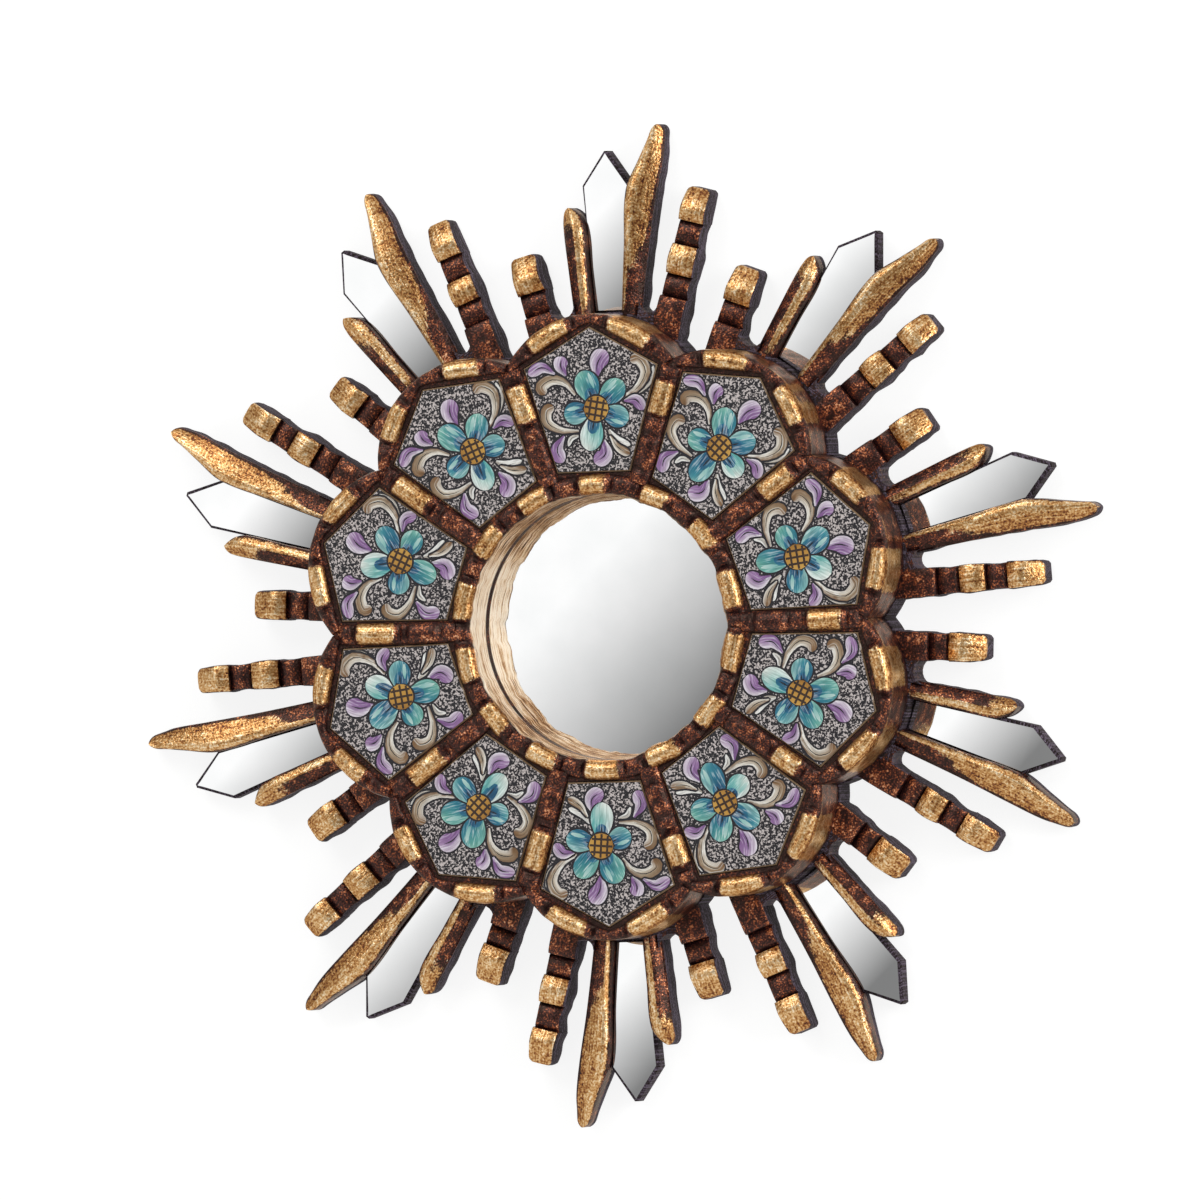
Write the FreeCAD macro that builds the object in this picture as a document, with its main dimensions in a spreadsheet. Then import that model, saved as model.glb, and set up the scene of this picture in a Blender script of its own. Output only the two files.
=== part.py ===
import FreeCAD, Part
import os
import re
import Sketcher

# Sunburst wall mirror: a sawn and carved ray board, a scalloped carved ring glued on it,
# a round mirror behind the ring, ten painted glass panes and ten mirror strips.
# X is right, Z is up, the wall is the plane Y = 0 and the front faces -Y. Millimetres.

GROUPS = 10
RING_BEADS = 14
HANGER_NOTCHES = 9
HALF_STEP = 180.0 / GROUPS

SIZES = [
    ("board_thick", 14.0, "ray board, wall face to ray tops"),
    ("lobe_pitch", 77.0, "axis to the centre of each lobe arc"),
    ("lobe_radius", 37.5, "radius of each lobe arc of the ring"),
    ("hub_lip", 0.4, "how far the board's hub shows round the ring"),
    ("tongue_thick", 6.5, "thin tongues that carry the mirror strips"),
    ("tongue_rim", 0.7, "tongue showing past the point of a strip"),
    ("strip_thick", 2.0, "mirror strip glass"),
    ("strip_in", 115.6, "inner end of a strip from the axis"),
    ("strip_in_half", 5.3, "half width of a strip at its inner end"),
    ("strip_shoulder", 161.0, "shoulder of a strip from the axis"),
    ("strip_shoulder_half", 8.3, "half width of a strip at its shoulder"),
    ("strip_tip", 173.0, "point of a strip from the axis"),
    ("strip_gap", 0.5, "clear gap between a strip and the blades"),
    ("blade_root", 103.0, "start of the blades, under the ring"),
    ("ridge_share", 0.26, "ridge position across a blade"),
    ("blade_drop", 2.6, "fall of the wide facet of a blade"),
    ("ridge_drop", 1.4, "fall of the narrow facet of a blade"),
    ("long_root_out", 11.4, "long blade, outer edge at the root"),
    ("long_waist", 139.0, "long blade, second section"),
    ("long_waist_out", 16.6, "outer edge there"),
    ("long_belly_out", 20.2, "outer edge at the strip shoulder"),
    ("long_taper", 173.0, "long blade, section where the tip narrows"),
    ("long_taper_in", 13.9, "inner edge there"),
    ("long_taper_out", 22.3, "outer edge there"),
    ("long_neck", 181.0, "long blade, section near the tip"),
    ("long_neck_in", 17.2, "inner edge there"),
    ("long_neck_out", 22.8, "outer edge there"),
    ("long_tip", 185.5, "end of the long blade from the axis"),
    ("long_tip_in", 20.2, "inner edge at the end"),
    ("long_tip_out", 22.3, "outer edge at the end"),
    ("long_tip_high", 9.0, "height of the ridge at the end"),
    ("short_root_out", 11.6, "short blade, outer edge at the root"),
    ("short_end", 147.0, "short blade, end of the full section"),
    ("short_end_out", 15.6, "outer edge there"),
    ("short_tip", 153.0, "point of the short blade"),
    ("short_tip_in", 13.2, "inner edge at the point"),
    ("short_tip_out", 15.6, "outer edge at the point"),
    ("short_tip_high", 9.5, "height of the ridge at the point"),
    ("twin_angle", 15.0, "lean of the two-bead ray from the group axis"),
    ("twin_shift", -6.3, "its centre line off the axis"),
    ("twin_root_half", 5.6, "half width at its root"),
    ("twin_end_half", 4.6, "half width at its end"),
    ("twin_end", 163.0, "its end"),
    ("twin_block", 122.0, "outer end of its plain root block"),
    ("twin_bead_in", 130.5, "inner bead, start"),
    ("twin_bead_out", 140.5, "inner bead, end"),
    ("twin_last_in", 149.5, "end bead, start"),
    ("twin_last_ridge", 155.0, "end bead, where the end facet starts"),
    ("single_angle", -15.0, "lean of the one-bead ray from the group axis"),
    ("single_shift", 4.6, "its centre line off the axis"),
    ("single_root_half", 5.6, "half width at its root"),
    ("single_end_half", 5.0, "half width at its end"),
    ("single_end", 140.0, "its end"),
    ("single_block", 118.0, "outer end of its plain root block"),
    ("single_last_in", 126.0, "end bead, start"),
    ("single_last_ridge", 132.0, "end bead, where the end facet starts"),
    ("reel_floor", 10.2, "height of the notches beside the beads"),
    ("reel_crown", 1.4, "rise of the small rolls between the beads"),
    ("bead_edge", 12.6, "height of the beads at their ends"),
    ("bead_crown", 1.3, "rise of a bead over its ends"),
    ("facet_end", 9.8, "height of the end facet at the ray end"),
    ("ray_root", 100.0, "start of the bead rays, under the ring"),
    ("web_reach", 118.0, "horns of the round-ended webs between the rays"),
    ("web_bite", 0.8, "how far a web runs into the rays beside it"),
    ("ring_rise", 21.0, "carved ring, board face to moulding base"),
    ("bore_radius", 48.8, "well over the round mirror"),
    ("mirror_lap", 1.6, "round mirror held under the ring"),
    ("mirror_thick", 2.0, "round mirror glass"),
    ("mirror_play", 0.2, "play of the round mirror in its rebate"),
    ("pane_apex", 109.6, "painted pane, point from the axis"),
    ("pane_shoulder", 94.9, "painted pane, shoulders from the axis"),
    ("pane_shoulder_half", 25.6, "half width at the shoulders"),
    ("pane_base", 56.4, "painted pane, base from the axis"),
    ("pane_base_half", 13.9, "half width at the base"),
    ("pane_thick", 2.4, "painted pane glass"),
    ("pane_drop", 0.3, "pane face below the moulding base"),
    ("pane_play", 0.3, "play of a pane in its recess"),
    ("pane_bevel", 0.5, "ground front edge of a pane"),
    ("haunch_share", 0.12, "moulding, share of its width at the haunch"),
    ("haunch_rise", 0.62, "moulding, share of its rise at the haunch"),
    ("crown_share", 0.34, "moulding, share of its width at the crown"),
    ("roll_width", 6.6, "inner ring moulding"),
    ("roll_rise", 2.5, "rise of the inner ring moulding"),
    ("roll_inset", 0.3, "inner ring moulding back from the well"),
    ("bead_rise", 0.9, "extra rise of the raised blocks"),
    ("bead_arc", 15.0, "raised block on the inner ring, degrees"),
    ("bar_in_half", 3.4, "half width of a bar at the inner ring"),
    ("bar_out_half", 3.8, "half width of a bar at the valley"),
    ("bar_rise", 2.6, "rise of the bars"),
    ("bar_end", 99.0, "outer end of a bar from the axis"),
    ("bar_bead_in", 77.5, "raised block on a bar, start"),
    ("bar_bead_length", 11.0, "raised block on a bar, length"),
    ("border_inset", 1.2, "lobe moulding back from the lobe edge"),
    ("border_reach", 29.5, "half spread of a lobe moulding"),
    ("border_step", 1.1, "lobe moulding back from the pane recess"),
    ("border_rise", 2.0, "rise of the lobe moulding"),
    ("border_draft", 14.0, "slope of its sides, degrees"),
    ("block_length", 14.5, "raised block on a lobe moulding, length"),
    ("block_width", 5.6, "its width"),
    ("block_offset", 5.3, "its centre line out from the pane edge"),
    ("edge_break", 1.0, "broken front edge of the lobes"),
    ("recess_half", 27.0, "hanger recess, half width"),
    ("recess_low", 60.0, "hanger recess, lower edge from the axis"),
    ("recess_high", 86.0, "hanger recess, upper edge from the axis"),
    ("recess_deep", 5.5, "hanger recess, depth"),
    ("hanger_low", 74.0, "toothed edge of the hanger from the axis"),
    ("hanger_high", 9.5, "height of the hanger strip"),
    ("hanger_thick", 1.0, "hanger strip sheet"),
    ("hanger_lift", 2.5, "bridge of the hanger off the recess floor"),
    ("hanger_half", 23.0, "half length of the hanger"),
    ("hanger_tab", 14.5, "inner end of the tabs from the middle"),
    ("hanger_bridge", 11.5, "half length of the raised bridge"),
    ("notch_width", 2.0, "hanger notch width"),
    ("notch_deep", 1.6, "hanger notch depth"),
    ("nail_spread", 19.0, "nails either side of the middle"),
    ("nail_up", 5.0, "nails above the toothed edge"),
    ("nail_radius", 0.8, "nail shank"),
    ("nail_head", 2.0, "nail head radius"),
    ("nail_head_thick", 0.8, "nail head"),
    ("nail_length", 7.0, "nail shank below the head"),
    ("nail_play", 0.1, "play of a nail in its hole"),
]

doc = FreeCAD.newDocument("sunburst_mirror")
sheet = doc.addObject("Spreadsheet::Sheet", "sizes")
for row, (alias, size, note) in enumerate(SIZES, 1):
    sheet.set(f"A{row}", note)
    sheet.set(f"B{row}", str(size))
    sheet.setAlias(f"B{row}", alias)
doc.recompute()


def tied(text):
    """Expression text with every size name pointed at its cell."""
    return re.sub(r"[a-z]+(?:_[a-z]+)+", lambda found: "sizes." + found.group(0), str(text))


def value(text):
    """The number that an expression gives now."""
    result = sheet.evalExpression(tied(text))
    return float(getattr(result, "Value", result))


def bind(item, path, text):
    """Set a property from the sheet and keep it tied to it."""
    item.setExpression(path, tied(text))


def origin_part(body, role):
    return next(part for part in body.Origin.OriginFeatures if part.Role == role)


def new_body(name, lift="0", turn=0.0):
    """A body whose own Y = 0 plane stands `lift` in front of the wall, turned clockwise."""
    body = doc.addObject("PartDesign::Body", name)
    body.Label = name
    spin = FreeCAD.Rotation(FreeCAD.Vector(0, 1, 0), turn)
    body.Placement = FreeCAD.Placement(FreeCAD.Vector(0, -value(lift), 0), spin)
    bind(body, "Placement.Base.y", f"-({lift})")
    return body


def place_sketch(body, name, role):
    sketch = body.newObject("Sketcher::SketchObject", name)
    sketch.AttachmentSupport = [(origin_part(body, role), "")]
    sketch.MapMode = "FlatFace"
    return sketch


def draw(sketch, corners, arcs=None):
    """A closed outline through corners given as expression pairs.

    arcs maps the number of a corner to the radius of the arc that leaves it, with a minus
    sign when the arc turns clockwise; the other sides are straight.
    """
    arcs = arcs or {}
    points = [FreeCAD.Vector(value(x), value(y), 0) for x, y in corners]
    count = len(points)
    ends = []
    for i, start in enumerate(points):
        stop = points[(i + 1) % count]
        if i in arcs:
            clockwise = arcs[i].startswith("-")
            size = value(arcs[i].lstrip("-"))
            first, last = (stop, start) if clockwise else (start, stop)
            chord = last - first
            left = FreeCAD.Vector(-chord.y, chord.x, 0).normalize()
            back = max(size**2 - (chord.Length / 2) ** 2, 0) ** 0.5
            middle = (first + last) / 2 + left * back
            over = middle - left * size
            side = sketch.addGeometry(Part.Arc(first, over, last), False)
            ends.append((side, 2, 1) if clockwise else (side, 1, 2))
        else:
            side = sketch.addGeometry(Part.LineSegment(start, stop), False)
            ends.append((side, 1, 2))
    for i, (side, begin, finish) in enumerate(ends):
        follow, follow_begin, _ = ends[(i + 1) % count]
        sketch.addConstraint(Sketcher.Constraint("Coincident", side, finish, follow, follow_begin))
        for kind, text, now in zip(("DistanceX", "DistanceY"), corners[i], points[i]):
            number = sketch.addConstraint(Sketcher.Constraint(kind, -1, 1, side, begin, now))
            bind(sketch, f"Constraints[{number}]", text)
        if i in arcs:
            text = arcs[i].lstrip("-")
            number = sketch.addConstraint(Sketcher.Constraint("Radius", side, value(text)))
            bind(sketch, f"Constraints[{number}]", text)
    return sketch


def add_circle(sketch, radius, x="0", y="0"):
    spot = FreeCAD.Vector(value(x), value(y), 0)
    circle = Part.Circle(spot, FreeCAD.Vector(0, 0, 1), value(radius))
    side = sketch.addGeometry(circle, False)
    for kind, text, now in (("DistanceX", x, spot.x), ("DistanceY", y, spot.y)):
        number = sketch.addConstraint(Sketcher.Constraint(kind, -1, 1, side, 3, now))
        bind(sketch, f"Constraints[{number}]", text)
    number = sketch.addConstraint(Sketcher.Constraint("Radius", side, value(radius)))
    bind(sketch, f"Constraints[{number}]", radius)
    return sketch


def front_sketch(body, name, corners=None, arcs=None, lift="0"):
    """A sketch seen from the front: x is X, y is Z."""
    sketch = place_sketch(body, name, "XZ_Plane")
    sketch.AttachmentOffset = FreeCAD.Placement(
        FreeCAD.Vector(0, 0, value(lift)), FreeCAD.Rotation()
    )
    bind(sketch, "AttachmentOffset.Base.z", lift)
    return draw(sketch, corners, arcs) if corners else sketch


def cross_sketch(body, name, reach, corners, arcs=None, turn=0.0):
    """A section across a radial piece: x is across it, y is -height."""
    sketch = place_sketch(body, name, "XY_Plane")
    spin = FreeCAD.Rotation(FreeCAD.Vector(0, 1, 0), turn)
    base = spin.multVec(FreeCAD.Vector(0, 0, value(reach)))
    sketch.AttachmentOffset = FreeCAD.Placement(base, spin)
    bind(sketch, "AttachmentOffset.Base.x", f"({reach}) * sin({turn})")
    bind(sketch, "AttachmentOffset.Base.z", f"({reach}) * cos({turn})")
    return draw(sketch, corners, arcs)


def pad(body, name, sketch, length, symmetric=False):
    feature = body.newObject("PartDesign::Pad", name)
    feature.Profile = sketch
    if symmetric:
        feature.SideType = "Symmetric"
    bind(feature, "Length", length)
    return feature


def pocket(body, name, sketch, length, reverse=False, symmetric=False):
    feature = body.newObject("PartDesign::Pocket", name)
    feature.Profile = sketch
    feature.Reversed = reverse
    if symmetric:
        feature.SideType = "Symmetric"
    bind(feature, "Length", length)
    return feature


def loft(body, name, sections):
    feature = body.newObject("PartDesign::AdditiveLoft", name)
    feature.Profile = sections[0]
    feature.Sections = sections[1:]
    feature.Ruled = True
    return feature


def turn_pattern(body, name, features, count):
    """Repeat features round the axis and make the pattern the tip of the body."""
    feature = body.newObject("PartDesign::PolarPattern", name)
    feature.Originals = features
    feature.Axis = (origin_part(body, "Y_Axis"), [""])
    feature.Angle = 360
    feature.Occurrences = count
    body.Tip = feature
    return feature


def turned(across, along, angle):
    """A point of a leaning ray, given across and along it, in the front sketch."""
    x = f"({across}) * cos({angle}) + ({along}) * sin({angle})"
    y = f"({along}) * cos({angle}) - ({across}) * sin({angle})"
    return x, y


def lobes(radius):
    """The ten-lobed outline: one arc per lobe from valley to valley."""
    depth = f"lobe_pitch * cos({HALF_STEP})"
    valley = f"({depth} + sqrt(({radius})^2 - (lobe_pitch * sin({HALF_STEP}))^2))"
    corners = []
    for i in range(GROUPS):
        corners.append(turned("0", valley, f"{HALF_STEP * (1 + 2 * i)}"))
    return corners, {i: f"-{radius}" for i in range(GROUPS)}


def strip_half(along):
    """Half width of a mirror strip at a distance from the axis."""
    slope = "(strip_shoulder_half - strip_in_half) / (strip_shoulder - strip_in)"
    return f"(strip_in_half + (({along}) - strip_in) * {slope})"


def blade_section(body, name, along, inner, outer, ridge, side):
    """One section of a blade: a lopsided roof with its ridge near the mirror strip."""
    width = f"(({outer}) - ({inner}))"
    top = f"(({inner}) + {width} * ridge_share)"
    corners = [
        (f"{side} * ({inner})", "0"),
        (f"{side} * ({inner})", f"-(({ridge}) - ridge_drop)"),
        (f"{side} * {top}", f"-({ridge})"),
        (f"{side} * ({outer})", f"-(({ridge}) - blade_drop)"),
        (f"{side} * ({outer})", "0"),
    ]
    return cross_sketch(body, name, along, corners)


# Ray board: hub, thin tongues, blades with a ridge and rays carved with beads.
board = new_body("sunburst_board")
hub_outline, hub_arcs = lobes("(lobe_radius + hub_lip)")
pad(board, "hub", front_sketch(board, "hub_outline", hub_outline, hub_arcs), "board_thick")

recess_outline = [
    ("-recess_half", "recess_low"),
    ("recess_half", "recess_low"),
    ("recess_half", "recess_high"),
    ("-recess_half", "recess_high"),
]
recess_sketch = front_sketch(board, "hanger_recess_outline", recess_outline)
pocket(board, "hanger_recess", recess_sketch, "recess_deep", reverse=True)
nail_sketch = front_sketch(board, "nail_hole_outline", lift="recess_deep")
for side in ("-", ""):
    add_circle(nail_sketch, "nail_radius + nail_play", f"{side}nail_spread", "hanger_low + nail_up")
pocket(board, "nail_holes", nail_sketch, "nail_length + nail_play", reverse=True)

edge_root = f"({strip_half('blade_root')} + strip_gap)"
edge_shoulder = f"({strip_half('strip_shoulder')} + strip_gap)"
tongue_outline = [
    (f"-{edge_root}", "blade_root"),
    (f"-{edge_shoulder}", "strip_shoulder"),
    ("0", "strip_tip + tongue_rim"),
    (edge_shoulder, "strip_shoulder"),
    (edge_root, "blade_root"),
]
tongue = pad(board, "tongue", front_sketch(board, "tongue_outline", tongue_outline), "tongue_thick")

edge_waist = f"({strip_half('long_waist')} + strip_gap)"
edge_short = f"({strip_half('short_end')} + strip_gap)"
tip_slope = "(board_thick - long_tip_high) / (long_tip - strip_shoulder)"
taper_high = f"board_thick - (long_taper - strip_shoulder) * {tip_slope}"
neck_high = f"board_thick - (long_neck - strip_shoulder) * {tip_slope}"
long_stations = [
    ("blade_root", edge_root, "long_root_out", "board_thick"),
    ("long_waist", edge_waist, "long_waist_out", "board_thick"),
    ("strip_shoulder", edge_shoulder, "long_belly_out", "board_thick"),
    ("long_taper", "long_taper_in", "long_taper_out", taper_high),
    ("long_neck", "long_neck_in", "long_neck_out", neck_high),
    ("long_tip", "long_tip_in", "long_tip_out", "long_tip_high"),
]
short_stations = [
    ("blade_root", edge_root, "short_root_out", "board_thick"),
    ("short_end", edge_short, "short_end_out", "board_thick"),
    ("short_tip", "short_tip_in", "short_tip_out", "short_tip_high"),
]
long_sections = [
    blade_section(board, f"long_section_{i}", *station, 1)
    for i, station in enumerate(long_stations)
]
short_sections = [
    blade_section(board, f"short_section_{i}", *station, -1)
    for i, station in enumerate(short_stations)
]
long_blade = loft(board, "long_blade", long_sections)
short_blade = loft(board, "short_blade", short_sections)


def bead_ray(name, profile, arcs):
    """A leaning ray sawn to its outline, then carved down to a profile of beads."""
    angle = f"{name}_angle"
    shift = f"{name}_shift"
    outline = [
        turned(f"{shift} - {name}_root_half", "ray_root", angle),
        turned(f"{shift} - {name}_end_half", f"{name}_end", angle),
        turned(f"{shift} + {name}_end_half", f"{name}_end", angle),
        turned(f"{shift} + {name}_root_half", "ray_root", angle),
    ]
    blank = pad(board, f"{name}_ray", front_sketch(board, f"{name}_outline", outline), "board_thick")
    waste = place_sketch(board, f"{name}_profile", "YZ_Plane")
    lean = FreeCAD.Rotation(FreeCAD.Vector(1, 0, 0), value(angle))
    base = lean.multVec(FreeCAD.Vector(0, 0, value(shift)))
    waste.AttachmentOffset = FreeCAD.Placement(base, lean)
    bind(waste, "AttachmentOffset.Base.y", f"-{shift} * sin({angle})")
    bind(waste, "AttachmentOffset.Base.z", f"{shift} * cos({angle})")
    draw(waste, [(f"-({height})", along) for along, height in profile], arcs)
    carve = pocket(board, f"{name}_carving", waste, f"3 * {name}_root_half", symmetric=True)
    return [blank, carve]


above = "board_thick + 2"
reel_turn = "-(((({1}) - ({0})) / 2)^2 + reel_crown^2) / (2 * reel_crown)"
bead_turn = "-(((({1}) - ({0})) / 2)^2 + bead_crown^2) / (2 * bead_crown)"
twin_profile = [
    ("twin_block", above),
    ("twin_block", "reel_floor"),
    ("twin_bead_in", "reel_floor"),
    ("twin_bead_in", "bead_edge"),
    ("twin_bead_out", "bead_edge"),
    ("twin_bead_out", "reel_floor"),
    ("twin_last_in", "reel_floor"),
    ("twin_last_in", "bead_edge"),
    ("twin_last_ridge", "bead_edge + bead_crown"),
    ("twin_end + 1", "facet_end"),
    ("twin_end + 1", above),
]
twin_arcs = {
    1: reel_turn.format("twin_block", "twin_bead_in"),
    3: bead_turn.format("twin_bead_in", "twin_bead_out"),
    5: reel_turn.format("twin_bead_out", "twin_last_in"),
}
single_profile = [
    ("single_block", above),
    ("single_block", "reel_floor"),
    ("single_last_in", "reel_floor"),
    ("single_last_in", "bead_edge"),
    ("single_last_ridge", "bead_edge + bead_crown"),
    ("single_end + 1", "facet_end"),
    ("single_end + 1", above),
]
single_arcs = {1: reel_turn.format("single_block", "single_last_in")}
twin_ray = bead_ray("twin", twin_profile, twin_arcs)
single_ray = bead_ray("single", single_profile, single_arcs)


def web(name, side, out_root, out_next, next_station, ray, inward):
    """A web with a round end that closes the gap between a blade and a bead ray."""
    slope = f"({out_next} - {out_root}) / ({next_station} - blade_root)"
    edge = f"{side} * ({out_root} + (web_reach - blade_root) * {slope} - web_bite)"
    across = f"{ray}_shift + {inward} * ({ray}_root_half - web_bite)"
    horn_x, horn_y = turned(across, "web_reach", f"{ray}_angle")
    corners = [
        (f"{side} * ({out_root} - web_bite)", "blade_root"),
        (edge, "web_reach"),
        (horn_x, horn_y),
        turned(across, "ray_root", f"{ray}_angle"),
    ]
    span = f"sqrt((({horn_x}) - ({edge}))^2 + (({horn_y}) - web_reach)^2)"
    hollow = f"0.52 * {span}" if side > 0 else f"-0.52 * {span}"
    sketch = front_sketch(board, f"{name}_outline", corners, {1: hollow})
    return pad(board, name, sketch, "board_thick")


webs = [
    web("long_web", 1, "long_root_out", "long_waist_out", "long_waist", "twin", -1),
    web("short_web", -1, "short_root_out", "short_end_out", "short_end", "single", 1),
]
turn_pattern(
    board,
    "ray_groups",
    [tongue, *webs, long_blade, short_blade, *twin_ray, *single_ray],
    GROUPS,
)

doc.recompute()

# Carved ring: lobed block with a well, recesses for the panes and rounded mouldings.
ring = new_body("carved_ring", "board_thick")
ring_outline, ring_arcs = lobes("lobe_radius")
crown_outline, crown_arcs = lobes("(lobe_radius - edge_break)")
wall_high = "(ring_rise - edge_break)"
block_sketch = front_sketch(ring, "block_outline", ring_outline, ring_arcs)
pad(ring, "lobed_block", block_sketch, wall_high)
edge_sections = [
    front_sketch(ring, "edge_foot_outline", ring_outline, ring_arcs, wall_high),
    front_sketch(ring, "edge_crown_outline", crown_outline, crown_arcs, "ring_rise"),
]
loft(ring, "sloped_edge", edge_sections)
well_sketch = add_circle(front_sketch(ring, "well_outline", lift="ring_rise"), "bore_radius")
pocket(ring, "well", well_sketch, "ring_rise")
rebate_sketch = front_sketch(ring, "rebate_outline")
add_circle(rebate_sketch, "bore_radius + mirror_lap + mirror_play")
pocket(ring, "mirror_rebate", rebate_sketch, "mirror_thick + mirror_play", reverse=True)


def pane_outline(play):
    """The five-sided pane, grown by a clear gap on every side."""
    return [
        ("0", f"pane_apex + 1.15 * {play}"),
        (f"pane_shoulder_half + 1.1 * {play}", f"pane_shoulder + 0.45 * {play}"),
        (f"pane_base_half + 0.8 * {play}", f"pane_base - {play}"),
        (f"-(pane_base_half + 0.8 * {play})", f"pane_base - {play}"),
        (f"-(pane_shoulder_half + 1.1 * {play})", f"pane_shoulder + 0.45 * {play}"),
    ]


seat_sketch = front_sketch(ring, "pane_seat_outline", pane_outline("pane_play"), lift="ring_rise")
seat = pocket(ring, "pane_seat", seat_sketch, "pane_thick + pane_drop")
turn_pattern(ring, "pane_seats", [seat], GROUPS)


def moulding(edge_low, edge_high, low, rise):
    """Section of a moulding cut half-round in flat gouge strokes, rooted a little in the block."""
    root = f"-(({low}) - 0.5)"
    width = f"(({edge_high}) - ({edge_low}))"
    foot = f"-({low})"
    haunch = f"-(({low}) + ({rise}) * haunch_rise)"
    crown = f"-(({low}) + ({rise}))"
    return [
        (edge_low, root),
        (edge_low, foot),
        (f"({edge_low}) + {width} * haunch_share", haunch),
        (f"({edge_low}) + {width} * crown_share", crown),
        (f"({edge_high}) - {width} * crown_share", crown),
        (f"({edge_high}) - {width} * haunch_share", haunch),
        (edge_high, foot),
        (edge_high, root),
    ]


roll_in = "bore_radius + roll_inset"
roll_out = "bore_radius + roll_inset + roll_width"
roll_sketch = place_sketch(ring, "roll_section", "XY_Plane")
draw(roll_sketch, moulding(roll_in, roll_out, "ring_rise", "roll_rise"))
roll = ring.newObject("PartDesign::Revolution", "inner_roll")
roll.Profile = roll_sketch
roll.ReferenceAxis = (origin_part(ring, "Y_Axis"), [""])
roll.Angle = 360

bead_sketch = place_sketch(ring, "roll_bead_section", "XY_Plane")
draw(
    bead_sketch,
    moulding("bore_radius", f"{roll_out} + roll_inset", "ring_rise", "roll_rise + bead_rise"),
)
bead = ring.newObject("PartDesign::Revolution", "roll_bead")
bead.Profile = bead_sketch
bead.ReferenceAxis = (origin_part(ring, "Y_Axis"), [""])
bead.Midplane = True
bind(bead, "Angle", "bead_arc")
turn_pattern(ring, "roll_beads", [bead], RING_BEADS)

bar_sections = []
for name, reach, half in (
    ("bar_inner_section", f"{roll_out} - 1", "bar_in_half"),
    ("bar_outer_section", "bar_end", "bar_out_half"),
):
    shape = moulding(f"-{half}", half, "ring_rise", "bar_rise")
    bar_sections.append(cross_sketch(ring, name, reach, shape, turn=HALF_STEP))
bar = loft(ring, "bar", bar_sections)
shape = moulding("-bar_out_half", "bar_out_half", "ring_rise", "bar_rise + bead_rise")
bar_bead_sketch = cross_sketch(ring, "bar_bead_section", "bar_bead_in", shape, turn=HALF_STEP)
bar_bead = pad(ring, "bar_bead", bar_bead_sketch, "bar_bead_length")

land_radius = "(lobe_radius - border_inset)"
land_end = f"lobe_pitch + sqrt({land_radius}^2 - border_reach^2)"
gable = "atan((pane_apex - pane_shoulder) / pane_shoulder_half)"
land_outline = [
    ("-(pane_shoulder_half + border_step)", "pane_shoulder + border_step"),
    ("-border_reach", land_end),
    ("border_reach", land_end),
    ("pane_shoulder_half + border_step", "pane_shoulder + border_step"),
    ("0", f"pane_apex + border_step / cos({gable})"),
]
land_sketch = front_sketch(ring, "border_outline", land_outline, {1: f"-{land_radius}"}, "ring_rise")
land = pad(ring, "lobe_border", land_sketch, "border_rise")
bind(land, "TaperAngle", "border_draft")


def gable_corner(side, run, out):
    """A point beside a gable edge of the pane: along the edge from its middle and outwards."""
    x = f"{side} * (pane_shoulder_half / 2 + ({run}) * cos({gable}) + ({out}) * sin({gable}))"
    y = f"(pane_apex + pane_shoulder) / 2 - ({run}) * sin({gable}) + ({out}) * cos({gable})"
    return x, y


blocks = []
for name, side in (("left_block", -1), ("right_block", 1)):
    spots = [
        (f"{run} * block_length / 2", f"block_offset + {out} * block_width / 2")
        for run, out in ((-1, -1), (1, -1), (1, 1), (-1, 1))
    ]
    corners = [gable_corner(side, run, out) for run, out in spots]
    block = pad(
        ring,
        name,
        front_sketch(ring, f"{name}_outline", corners, lift="ring_rise"),
        "border_rise + bead_rise",
    )
    bind(block, "TaperAngle", "border_draft")
    blocks.append(block)
turn_pattern(ring, "lobe_mouldings", [bar, bar_bead, land, *blocks], GROUPS)
doc.recompute()


# Round mirror in the rebate of the ring, lying on the board.
centre = new_body("centre_mirror", "board_thick")
disc_sketch = add_circle(front_sketch(centre, "disc_outline"), "bore_radius + mirror_lap")
pad(centre, "disc", disc_sketch, "mirror_thick")


def front_face(feature):
    """Name of the face that looks to the front."""
    faces = feature.Shape.Faces
    depths = [face.CenterOfMass.y for face in faces]
    return f"Face{depths.index(min(depths)) + 1}"


nodes = [board, ring, centre]
strip_outline = [
    ("-strip_in_half", "strip_in"),
    ("-strip_shoulder_half", "strip_shoulder"),
    ("0", "strip_tip"),
    ("strip_shoulder_half", "strip_shoulder"),
    ("strip_in_half", "strip_in"),
]
pane_lift = "board_thick + ring_rise - pane_drop - pane_thick"
for i in range(GROUPS):
    pane = new_body(f"painted_pane_{i + 1:02d}", pane_lift, 2 * HALF_STEP * i)
    sheet_pad = pad(
        pane,
        f"pane_sheet_{i + 1:02d}",
        front_sketch(pane, f"pane_outline_{i + 1:02d}", pane_outline("0")),
        "pane_thick",
    )
    doc.recompute()
    ground = pane.newObject("PartDesign::Chamfer", f"pane_edge_{i + 1:02d}")
    ground.Base = (sheet_pad, [front_face(sheet_pad)])
    bind(ground, "Size", "pane_bevel")
    strip = new_body(f"ray_mirror_{i + 1:02d}", "tongue_thick", 2 * HALF_STEP * i)
    pad(
        strip,
        f"strip_sheet_{i + 1:02d}",
        front_sketch(strip, f"strip_outline_{i + 1:02d}", strip_outline),
        "strip_thick",
    )
    nodes += [pane, strip]

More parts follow.
